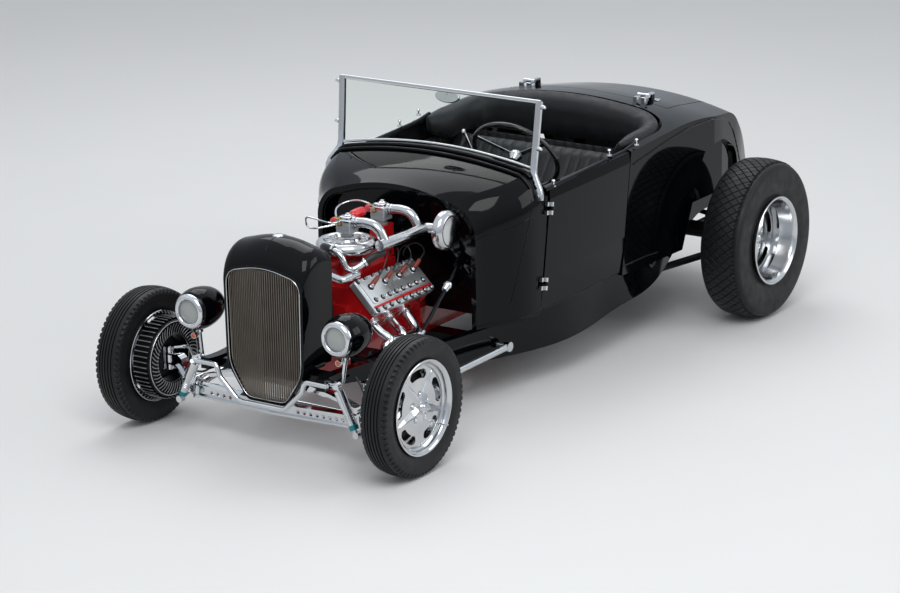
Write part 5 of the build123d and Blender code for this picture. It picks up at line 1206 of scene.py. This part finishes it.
def swept(path, section, across, sizes=None):
    """A section carried along a path; its first measure points along across, its second off the path."""
    mesh = bmesh.new()
    rows = []
    for number, point in enumerate(path):
        ahead = (path[min(number + 1, len(path) - 1)] - path[max(number - 1, 0)]).normalized()
        wide = across(number) if callable(across) else across
        wide = (wide - ahead * wide.dot(ahead)).normalized()
        off = ahead.cross(wide)
        size = sizes[number] if sizes else 1.0
        rows.append([mesh.verts.new(point + (wide * a + off * b) * size) for a, b in section])
    for low, high in zip(rows, rows[1:]):
        for k in range(len(section)):
            j = (k + 1) % len(section)
            mesh.faces.new((low[k], low[j], high[j], high[k]))
    mesh.faces.new(list(reversed(rows[0])))
    mesh.faces.new(rows[-1])
    bmesh.ops.recalc_face_normals(mesh, faces=mesh.faces)
    return mesh


def round_bar(wide, tall, corner):
    """The outline of a bar with rounded corners."""
    points, steps = [], 3
    for sx, sy, start in ((1, 1, 0), (-1, 1, pi / 2), (-1, -1, pi), (1, -1, 1.5 * pi)):
        for k in range(steps + 1):
            angle = start + pi / 2 * k / steps
            points.append((sx * (wide / 2 - corner) + corner * cos(angle),
                           sy * (tall / 2 - corner) + corner * sin(angle)))
    return points


# laminated glass: clear with a trace of green; the low index keeps its reflection faint
clear_glass, tree = bare_material("laminated_glass")
pane = add(tree, "ShaderNodeBsdfPrincipled", {"Base Color": linear("#f5f9f7"), "Roughness": 0.0,
                                              "Transmission Weight": 1.0, "IOR": 1.08})
add(tree, "ShaderNodeOutputMaterial", {"Surface": pane.outputs[0]})
dress(clear_glass, "windscreen_glass")
dress(chrome, "mirror")

posts, trims, grooves = bmesh.new(), bmesh.new(), bmesh.new()
line = [Vector(p) for p in ((0.525, -0.2705, 1.294), (0.523, -0.276, 1.245), (0.521, -0.283, 1.185),
                            (0.519, -0.290, 1.125), (0.517, -0.298, 1.065), (0.515, -0.305, 1.010),
                            (0.518, -0.311, 0.978), (0.529, -0.318, 0.956), (0.542, -0.325, 0.937),
                            (0.555, -0.331, 0.916), (0.563, -0.336, 0.892), (0.566, -0.339, 0.872))]
merge(posts, swept(line, round_bar(0.030, 0.017, 0.004), Vector((1, 0, 0)),
                   [1, 1, 1, 1, 1, 1, 1.02, 1.08, 1.15, 1.2, 1.2, 1.05]))
merge(grooves, swept([p + Vector((-0.0145, 0.001, 0)) for p in line[:6]], round_bar(0.006, 0.010, 0.001),
                     Vector((1, 0, 0))))
for z_share in (0.08, 0.72):
    knob = line[0].lerp(line[5], z_share) + Vector((0.016, -0.002, 0))
    merge(posts, turned([(0.0, -0.004), (0.009, -0.004), (0.0105, 0.0), (0.0105, 0.006), (0.0085, 0.009),
                         (0.0085, 0.014), (0.006, 0.018), (0.0, 0.019)], 28, closed=False),
          Matrix.Translation(knob) @ Matrix.Rotation(pi / 2, 4, "Y"))
for k in (8, 10):
    merge(trims, turned([(0.0, 0.0045), (0.004, 0.004), (0.0065, 0.0), (0.0, 0.0)], 20, closed=False),
          Matrix.Translation(line[k] + Vector((0.0, -0.0105, 0))) @ Matrix.Rotation(pi / 2, 4, "X"))
top_bar = [Vector((x / 20 * 0.530, -0.2700, 1.2905)) for x in range(-20, 1)]
merge(trims, swept(top_bar, round_bar(0.013, 0.020, 0.005), Vector((0, 1, 0))))
sill = [Vector((-x / 20 * 0.503, -0.3065 + 0.005 * (1 - (x / 20) ** 2),
                1.000 + 0.048 * (1 - (x / 20) ** 2))) for x in range(20, -1, -1)]
merge(trims, swept(sill, round_bar(0.011, 0.014, 0.004), Vector((0, 1, 0))))
post_piece = mesh_piece("screen_posts", on_both_sides(posts), chrome, "car", smooth=40)
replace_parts(post_piece, "windscreen_frame")
mesh_piece("screen_bars", on_both_sides(trims), chrome, "car", smooth=40)
mesh_piece("screen_rubber", on_both_sides(grooves), rubber, "car", smooth=40)

# The scuttle's steps and lip
# The scuttle's open front ends in three rolled steps, one inside the other, over a folded flange. A
# double rolled lip closes the gap under the glass. All of it is steel in the body's enamel.


def arch_path(inset, y):
    """The scuttle's front edge from its left foot over the top to its right foot, drawn in."""
    half, corner_x, foot_z = 0.420 - inset, 0.300 - inset / 2, 0.345
    side_z, corner_z, top = 0.744, 0.886 - inset, 0.938 - inset
    wide, tall = half - corner_x, corner_z - side_z
    turn_r = (wide ** 2 + tall ** 2) / (2 * wide)
    crown_r = (corner_x ** 2 + (top - corner_z) ** 2) / (2 * (top - corner_z))
    points = [(half, foot_z + (side_z - foot_z) * k / 10) for k in range(10)]
    sweep_angle = atan2(tall, corner_x - half + turn_r)
    points += [(half - turn_r + turn_r * cos(a), side_z + turn_r * sin(a))
               for a in (sweep_angle * k / 10 for k in range(11))]
    points += [(corner_x * k / 12, top - crown_r + (crown_r ** 2 - (corner_x * k / 12) ** 2) ** 0.5)
               for k in range(11, -1, -1)]
    left = [Vector((x, y, z)) for x, z in points]
    return left + [Vector((-p.x, p.y, p.z)) for p in reversed(left[:-1])]


ledges = bmesh.new()
for inset, y, radius in ((0.0045, -0.6225, 0.0050), (0.0165, -0.6200, 0.0045),
                         (0.0280, -0.6165, 0.0045)):
    merge(ledges, tube(arch_path(inset, y), radius, 14, 3))
for inset, y in ((0.0100, -0.6175), (0.0220, -0.6145)):
    flange = arch_path(inset, y)
    merge(ledges, swept(flange, round_bar(0.014, 0.003, 0.001),
                        lambda k: Vector((flange[k].x, 0, flange[k].z - 0.60))))
mesh_piece("stepped_scuttle_ledge", ledges, gloss_black, "car", smooth=60)

lips = bmesh.new()
for gap, drop, radius in ((0.0, 0.014, 0.0105), (0.034, 0.004, 0.0085)):
    path = []
    for k in range(-24, 25):
        x = k / 24 * (0.512 + gap * 0.6)
        z = 1.004 + 0.048 * (1 - (x / 0.5) ** 2) - drop
        hit = laid(scuttle, (x, -0.326 - gap, 1.4), (0, 0, -1))
        path.append(Vector((x, -0.326 - gap, min(z, hit.z + radius * 0.6) if hit else z)))
    merge(lips, tube(path, radius, 16, 3))
mesh_piece("rolled_screen_lip", lips, gloss_black, "car", smooth=60)

# The seat
# A bench in black pebbled leather, sewn in upright channels over a padded cushion and back. The
# pads swell by simulation; the channels are pressed in after it, as the stitching would.

PLEAT, SEAM_WIDE, SEAM_DEEP = 0.054, 0.011, 0.009
PEBBLE_MM, CREASE_MM = 1.613, 38.46
PAD_VOXEL, PAD_PRESSURE, PAD_FRAMES = 0.010, 4.0, 20


def box_pad(x, y, z):
    """A plain closed box with soft edges, ready to be swollen."""
    mesh = bmesh.new()
    bmesh.ops.create_cube(mesh, size=1.0)
    size = [span[1] - span[0] for span in (x, y, z)]
    centre = [(span[0] + span[1]) / 2 for span in (x, y, z)]
    mesh.transform(Matrix.Translation(centre) @ Matrix.Diagonal((*size, 1.0)))
    bmesh.ops.bevel(mesh, geom=mesh.edges[:], offset=0.03, segments=3, affect="EDGES", profile=0.6)
    return mesh


def swollen(mesh, cap):
    """The same closed form filled like a cushion: each point moves out by no more than cap."""
    data = bpy.data.meshes.new("pad")
    mesh.to_mesh(data)
    mesh.free()
    pad = bpy.data.objects.new("pad", data)
    bpy.context.scene.collection.objects.link(pad)
    remesh = pad.modifiers.new("even", "REMESH")
    remesh.mode, remesh.voxel_size = "VOXEL", PAD_VOXEL
    even = bpy.data.meshes.new_from_object(pad.evaluated_get(bpy.context.evaluated_depsgraph_get()))
    pad.modifiers.clear()
    pad.data = even
    rest = [v.co.copy() for v in even.vertices]
    cloth = pad.modifiers.new("fill", "CLOTH")
    cloth.settings.use_pressure = True
    cloth.settings.uniform_pressure_force = PAD_PRESSURE
    cloth.settings.effector_weights.gravity = 0.0
    cloth.settings.quality = 5
    cloth.point_cache.frame_end = PAD_FRAMES
    for number in range(1, PAD_FRAMES + 1):
        bpy.context.scene.frame_set(number)
    done = bpy.data.meshes.new_from_object(pad.evaluated_get(bpy.context.evaluated_depsgraph_get()))
    moved = [v.co.copy() for v in done.vertices]
    bpy.data.meshes.remove(done)
    bpy.context.scene.frame_set(1)
    result = bmesh.new()
    result.from_mesh(even)
    result.verts.ensure_lookup_table()
    for v, old, new in zip(result.verts, rest, moved):
        step = new - old
        if step.length > cap:
            step *= cap / step.length
        v.co = old + step
    bpy.data.objects.remove(pad)
    return result


def channelled(mesh, keep):
    """Presses upright channels across the pad, as deep as keep(vertex) says."""
    mesh.normal_update()
    for v in mesh.verts:
        share = keep(v)
        if share <= 0:
            continue
        off = abs((v.co.x / PLEAT) - round(v.co.x / PLEAT)) * PLEAT
        if off < SEAM_WIDE:
            v.co -= v.normal * SEAM_DEEP * share * (0.5 + 0.5 * cos(pi * off / SEAM_WIDE))
    return mesh


def leather(name, hexes):
    """Pebbled hide: a cell grain, drawn coarser than the real one so that it shows, and creases."""
    material, tree = bare_material(name)
    place = add(tree, "ShaderNodeTexCoord").outputs["Object"]
    pebble = add(tree, "ShaderNodeTexVoronoi", {"Vector": place, "Scale": 1000 / PEBBLE_MM},
                 feature="F1")
    crease = add(tree, "ShaderNodeTexNoise", {"Vector": place, "Scale": 1000 / CREASE_MM, "Detail": 6.0,
                                              "Distortion": 0.6})
    tint = add(tree, "ShaderNodeMix",
               {"Factor": crease.outputs[0], 6: linear(hexes[0]), 7: linear(hexes[1])}, data_type="RGBA")
    height = add(tree, "ShaderNodeMath", {0: pebble.outputs[0], 1: crease.outputs[0]}, operation="ADD")
    bump = add(tree, "ShaderNodeBump",
               {"Height": height.outputs[0], "Strength": 0.5, "Distance": 0.0009})
    sheen = add(tree, "ShaderNodeMapRange", {"Value": crease.outputs[0], "From Min": 0.35,
                                             "From Max": 0.7, "To Min": 0.34, "To Max": 0.52})
    shader = add(tree, "ShaderNodeBsdfPrincipled", {
        "Base Color": tint.outputs[2], "Roughness": sheen.outputs[0], "Normal": bump.outputs[0],
        "Sheen Weight": 0.05, "Sheen Roughness": 0.4, "IOR": 1.38})
    add(tree, "ShaderNodeOutputMaterial", {"Surface": shader.outputs[0]})
    return material


# dyed and embossed cowhide: a cold black with a soft broken sheen
hide = leather("pebbled_black_hide", ("#07090c", "#0e1116"))
dress(hide, "seat", "cockpit_roll")
SEAT_HALF, SEAT_SWELL = 0.520, 0.012
cushion = swollen(box_pad((-SEAT_HALF, SEAT_HALF), (-0.005, 0.462), (0.474, 0.584)), SEAT_SWELL)
cushion = channelled(cushion, lambda v: max(0.0, v.normal.z - 0.3) * 1.4)
back = swollen(box_pad((-SEAT_HALF, SEAT_HALF), (-0.050, 0.050), (0.010, 0.296)), SEAT_SWELL)
lean = Matrix.Translation((0, 0.478, 0.604)) @ Matrix.Rotation(-atan2(0.176, 0.24), 4, "X")
back = channelled(back, lambda v: max(0.0, -v.normal.y - 0.2) * 1.2)
back.transform(lean)
for name, mesh in (("sewn_seat_cushion", cushion), ("sewn_seat_back", back)):
    bmesh.ops.subdivide_edges(mesh, edges=mesh.edges[:], cuts=1, use_grid_fill=True, smooth=0.3)
    pad = mesh_piece(name, mesh, hide, "car", smooth=75)
    if name == "sewn_seat_cushion":
        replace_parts(pad, "seat")

# The padded roll
# One long pad of the same hide wraps the cockpit's rim behind the seat, fat at the back and drawn
# to a point at each door. It is filled like a cushion, then tacked down along its lower edge.

ROLL_FOOT, ROLL_SWELL, ROLL_SMOOTHING = 0.846, 0.006, 6


def roll_path():
    """The roll's middle line in plan, from the left door round the back to the right door."""
    half, rear, corner, ahead = 0.514, 0.813, 0.158, 0.395
    points = [(half, ahead + (rear - corner - ahead) * k / 9) for k in range(9)]
    points += [(half - corner + corner * cos(a), rear - corner + corner * sin(a))
               for a in (pi / 2 * k / 8 for k in range(9))]
    points += [(x, rear) for x in (0.27, 0.18, 0.09, 0.0)]
    return points + [(-x, y) for x, y in reversed(points[:-1])]


def rim_height(x, y):
    """The height of the body's rim under the roll."""
    crown = 1 - (x / 0.6) ** 2
    return 0.930 + 0.126 * crown + (y - 0.211) / 0.750 * (0.046 - 0.052 * crown)


roll_line = roll_path()
roll = bmesh.new()
roll_rows = []
for number, (x, y) in enumerate(roll_line):
    before, after = roll_line[max(number - 1, 0)], roll_line[min(number + 1, len(roll_line) - 1)]
    ahead = Vector((after[0] - before[0], after[1] - before[1], 0)).normalized()
    inward = Vector((0, 0, 1)).cross(ahead)
    ends = min(number, len(roll_line) - 1 - number)
    fat = min(1.0, 0.45 + 0.14 * ends)
    top = rim_height(x, y) + 0.014 - 0.016 * (1 - fat)
    low = ROLL_FOOT + 0.090 * (1 - fat)
    tall = top - low
    outline = ((-0.042, 0.0), (-0.044, tall * 0.70), (-0.036, tall - 0.010), (-0.018, tall),
               (0.008, tall - 0.006), (0.030, tall - 0.024), (0.049, tall * 0.66), (0.055, tall * 0.32),
               (0.050, 0.0))
    roll_rows.append([roll.verts.new(Vector((x, y, low)) + inward * a * fat + Vector((0, 0, b)))
                      for a, b in outline])
for low_row, high_row in zip(roll_rows, roll_rows[1:]):
    for k in range(len(low_row)):
        j = (k + 1) % len(low_row)
        roll.faces.new((low_row[k], low_row[j], high_row[j], high_row[k]))
roll.faces.new(list(reversed(roll_rows[0])))
roll.faces.new(roll_rows[-1])
bmesh.ops.recalc_face_normals(roll, faces=roll.faces)
roll = swollen(roll, ROLL_SWELL)
for _ in range(ROLL_SMOOTHING):
    bmesh.ops.smooth_vert(roll, verts=roll.verts, factor=0.5, use_axis_x=True, use_axis_y=True,
                          use_axis_z=True)
bmesh.ops.subdivide_edges(roll, edges=roll.edges[:], cuts=1, use_grid_fill=True, smooth=0.4)
roll_pad = mesh_piece("sewn_cockpit_roll", roll, hide, "car", smooth=75)
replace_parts(roll_pad, "cockpit_roll")

# Trim boards
# Fibre boards under pleated hide line the doors, the sides beside the seat and the bulkhead behind
# it. Their pleats are sewn at the seat's pitch and they are clipped to the steel.

BOARD_THICK = 0.009


def pleated_board(length, tall):
    """An upright board, pleated across its length: x along it, y its thickness, z up."""
    mesh = bmesh.new()
    columns = []
    count = round(length / PLEAT) * 8
    for k in range(count + 1):
        x = -length / 2 + length * k / count
        puff = BOARD_THICK * (0.45 + 0.55 * abs(sin(pi * k / 8)) ** 0.6)
        columns.append([mesh.verts.new(p) for p in ((x, 0.003, 0), (x, -puff, 0.004),
                                                    (x, -puff, tall - 0.006), (x, -puff * 0.6, tall),
                                                    (x, 0.003, tall))])
    for near, far in zip(columns, columns[1:]):
        for k in range(5):
            j = (k + 1) % 5
            mesh.faces.new((near[k], far[k], far[j], near[j]))
    mesh.faces.new(columns[0])
    mesh.faces.new(list(reversed(columns[-1])))
    bmesh.ops.recalc_face_normals(mesh, faces=mesh.faces)
    return mesh


boards = bmesh.new()
merge(boards, pleated_board(1.02, 0.42), Matrix.Translation((0, 0.730, 0.425)))
for side in (-1, 1):
    upright = Matrix.Translation((side * 0.546, 0.590, 0.400)) @ Matrix.Rotation(-side * pi / 2, 4, "Z")
    merge(boards, pleated_board(0.54, 0.450), upright)
mesh_piece("cockpit_trim_boards", boards, hide, "car", smooth=60)
for side_name, side_sign in (("left", 1), ("right", -1)):
    board = pleated_board(0.540, 0.330)
    board.transform(Matrix.Translation((side_sign * 0.559, 0.030, 0.520))
                    @ Matrix.Rotation(-side_sign * pi / 2, 4, "Z"))
    mesh_piece(f"door_trim_{side_name}", board, hide, f"door_{side_name}", smooth=60)

# Floor, column and lever
# The pressed floor wears black carpet. A painted column leads to a shaft with two plated joints; the
# bent lever is plated as well, and comes up through a folded rubber gaiter.

# looped pile carpet: quite dull, in tufts of 3 mm
carpet = surface("looped_black_carpet", ("#0c0c0d", "#1a1a1c"), rough=(0.85, 0.95), grain=(3.0, 0.9),
                 mottle=25)
dress(carpet, "floor")
dress(gloss_black, "steering_column")
lever, gaiter = bmesh.new(), bmesh.new()
merge(lever, tube([(0.000, -0.150, 0.500), (0.030, -0.115, 0.640), (0.140, -0.140, 0.860),
                   (0.125, -0.168, 0.960), (0.080, -0.199, 1.098)], 0.0062, 14, 8))
merge(lever, turned([(0.0, 0.010), (0.006, 0.009), (0.0085, 0.004), (0.0085, -0.012), (0.006, -0.015),
                     (0.0, -0.015)], 24, closed=False), Matrix.Translation((0.080, -0.199, 1.094)))
folds = [(0.0, 0.075), (0.012, 0.075)]
for k in range(5):
    folds += [(0.020 + 0.007 * k, 0.064 - 0.012 * k), (0.016 + 0.008 * k, 0.058 - 0.012 * k)]
merge(gaiter, turned(folds + [(0.056, 0.0), (0.0, 0.0)], 40, closed=False),
      Matrix.Translation((0.0, -0.159, 0.458)))
lever_piece = mesh_piece("bent_gear_lever", lever, chrome, "car", smooth=60)
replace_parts(lever_piece, "gear_lever")
mesh_piece("lever_gaiter", gaiter, rubber, "car", smooth=50)
joints = bmesh.new()
for place, aim in (((0.332, -0.939, 0.378), (0.0, -0.86, -0.5)),
                   ((0.328, -0.709, 0.548), (0.0, -0.86, -0.5))):
    turn_to = Vector(aim).to_track_quat("Z", "Y").to_matrix().to_4x4()
    merge(joints, turned([(0.0, -0.034), (0.012, -0.034), (0.015, -0.030), (0.015, -0.016),
                          (0.019, -0.010), (0.0195, 0.010), (0.015, 0.016), (0.015, 0.030),
                          (0.012, 0.034), (0.0, 0.034)], 28, closed=False),
          Matrix.Translation(place) @ turn_to)
mesh_piece("plated_column_joints", joints, chrome, "car", smooth=40)

# Door rails
# A rolled half-round steel rail caps each door and runs on along the body to the roll, in the
# body's own enamel.

RAIL_R, DOOR_RAIL_X, BODY_RAIL_X = 0.0105, 0.569, 0.570
door_rail = [(-0.303, 0.9115), (-0.200, 0.916), (-0.096, 0.920), (0.030, 0.925), (0.158, 0.931),
             (0.231, 0.934)]
body_rail = [(0.245, 0.935), (0.300, 0.937), (0.376, 0.941), (0.430, 0.951), (0.480, 0.960)]
left_rails, right_rails, side_rails = bmesh.new(), bmesh.new(), bmesh.new()
merge(left_rails, tube([(DOOR_RAIL_X, y, z) for y, z in between(door_rail)], RAIL_R, 16, 3))
merge(right_rails, tube([(-DOOR_RAIL_X, y, z) for y, z in between(door_rail)], RAIL_R, 16, 3))
merge(side_rails, tube([(BODY_RAIL_X, y, z) for y, z in between(body_rail)], RAIL_R, 16, 3))
mesh_piece("door_rail_left", left_rails, gloss_black, "door_left", smooth=60)
mesh_piece("door_rail_right", right_rails, gloss_black, "door_right", smooth=60)
mesh_piece("body_side_rails", on_both_sides(side_rails), gloss_black, "car",
           smooth=60)

# Door latches and lid hinges
# Plated striker pins stand on the door rail and beside it; flat winged leaves, screwed down, carry
# the lid's two hinges.

HINGE_X, LEAF_FRONT_Y, LEAF_STEP = 0.318, 1.058, 0.017
pins, wings = bmesh.new(), bmesh.new()
lid_skin = skin_of("deck_lid")
for x, y, z in ((0.571, 0.236, 0.951), (0.598, 0.430, 0.962), (0.571, -0.235, 0.915)):
    merge(pins, turned([(0.0, 0.030), (0.006, 0.029), (0.009, 0.024), (0.006, 0.019), (0.004, 0.017),
                        (0.004, 0.004), (0.011, 0.003), (0.012, -0.002), (0.0, -0.002)], 24,
                       closed=False), Matrix.Translation((x, y, z)))
for x in (-HINGE_X, HINGE_X):
    for number in range(3):
        place = laid(lid_skin, (x, LEAF_FRONT_Y + LEAF_STEP * number, 1.4), (0, 0, -1))
        if place:
            wide = 0.066 - LEAF_STEP * number * 0.9
            merge(wings, rounded_slab(wide, 0.020, 0.0035, 0.006, 0.001),
                  Matrix.Translation(place - Vector((0, 0, 0.0008))))
    for dx in (-0.022, 0.022):
        place = laid(lid_skin, (x + dx, LEAF_FRONT_Y, 1.4), (0, 0, -1))
        if place:
            merge(wings, turned([(0.0, 0.0022), (0.003, 0.0018), (0.0045, 0.0), (0.0, 0.0)], 16,
                                closed=False), Matrix.Translation(place + Vector((0, 0, 0.0028))))
mesh_piece("door_striker_pins", on_both_sides(pins), chrome, "car", smooth=40)
mesh_piece("lid_hinge_leaves", wings, chrome, "deck_lid", smooth=40)

# The deck lid
# A pressed steel lid in the body's enamel. Its two plated hinge arms are part of the same packed
# solid and stand above its skin, so the finish changes at the skin's height.

LID_TOP, PEEL_MM = 1.0437, 3.03
# sprayed enamel below that height, and chromium plate above it
lid_finish, tree = bare_material("enamelled_lid_with_plated_arms")
spot = add(tree, "ShaderNodeTexCoord").outputs["Object"]
level = add(tree, "ShaderNodeSeparateXYZ", {0: spot})
above = add(tree, "ShaderNodeMath", {0: level.outputs["Z"], 1: LID_TOP}, operation="GREATER_THAN")
peel = add(tree, "ShaderNodeTexNoise", {"Vector": spot, "Scale": 1000 / PEEL_MM, "Detail": 3.0})
waves = add(tree, "ShaderNodeBump", {"Height": peel.outputs[0], "Strength": 1.0, "Distance": 0.000002})
skin_shade = add(tree, "ShaderNodeBsdfPrincipled", {"Base Color": linear("#030406"), "Roughness": 0.045,
                                                    "IOR": 1.27, "Normal": waves.outputs[0]})
arm_shade = add(tree, "ShaderNodeBsdfPrincipled",
                {"Base Color": linear("#d2d5d7"), "Roughness": 0.07, "Metallic": 1.0})
both_shades = add(tree, "ShaderNodeMixShader",
                  {0: above.outputs[0], 1: skin_shade.outputs[0], 2: arm_shade.outputs[0]})
add(tree, "ShaderNodeOutputMaterial", {"Surface": both_shades.outputs[0]})
dress(lid_finish, "deck_lid")

# The steering wheel
# A thin black moulded rim on three flat polished spokes, with a bright button in the middle, held
# by a ring of small screws.

WHEEL_AXIS, COLUMN_TOP = Vector((-0.075632, 0.829251, 0.553735)), Vector((0.272, -0.095, 0.958))
GRIP_RING_R, GRIP_R = 0.200, 0.0105
hub = COLUMN_TOP + WHEEL_AXIS * 0.0343
turn = WHEEL_AXIS.to_track_quat("Z", "Y").to_matrix().to_4x4()
rim_ring = turned([(GRIP_RING_R + GRIP_R * cos(a), GRIP_R * sin(a))
                   for a in (tau * k / 16 for k in range(16))], 120)
rim_ring.transform(Matrix.Translation(hub) @ turn)
# moulded hard plastic: black, smooth and glossy from handling
moulded_black = surface("moulded_black_plastic", ("#0c0c0d", "#151516"), rough=(0.12, 0.22),
                        grain=(1.0, 0.01), coat=0.5)
spokes = bmesh.new()
for number in range(3):
    spoke = rounded_slab(0.178, 0.020, 0.0032, 0.009, 0.0008)
    merge(spokes, spoke,
          Matrix.Rotation(tau * number / 3 + pi / 6, 4, "Z") @ Matrix.Translation((0.106, 0, -0.0016)))
merge(spokes, turned([(0.0, 0.017), (0.016, 0.0165), (0.026, 0.012), (0.031, 0.004), (0.033, -0.006),
                      (0.020, -0.030), (0.0, -0.030)], 48, closed=False))
for number in range(12):
    merge(spokes, nut_mesh(0.0028, 0.003),
          Matrix.Rotation(tau * number / 12, 4, "Z") @ Matrix.Translation((0.0245, 0, 0.011)))
spokes.transform(Matrix.Translation(hub) @ turn)
grip = mesh_piece("moulded_wheel_rim", rim_ring, moulded_black, "steering_wheel",
                  smooth=60)
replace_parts(grip, "steering_wheel")
mesh_piece("wheel_spokes", spokes, chrome, "steering_wheel", smooth=35)
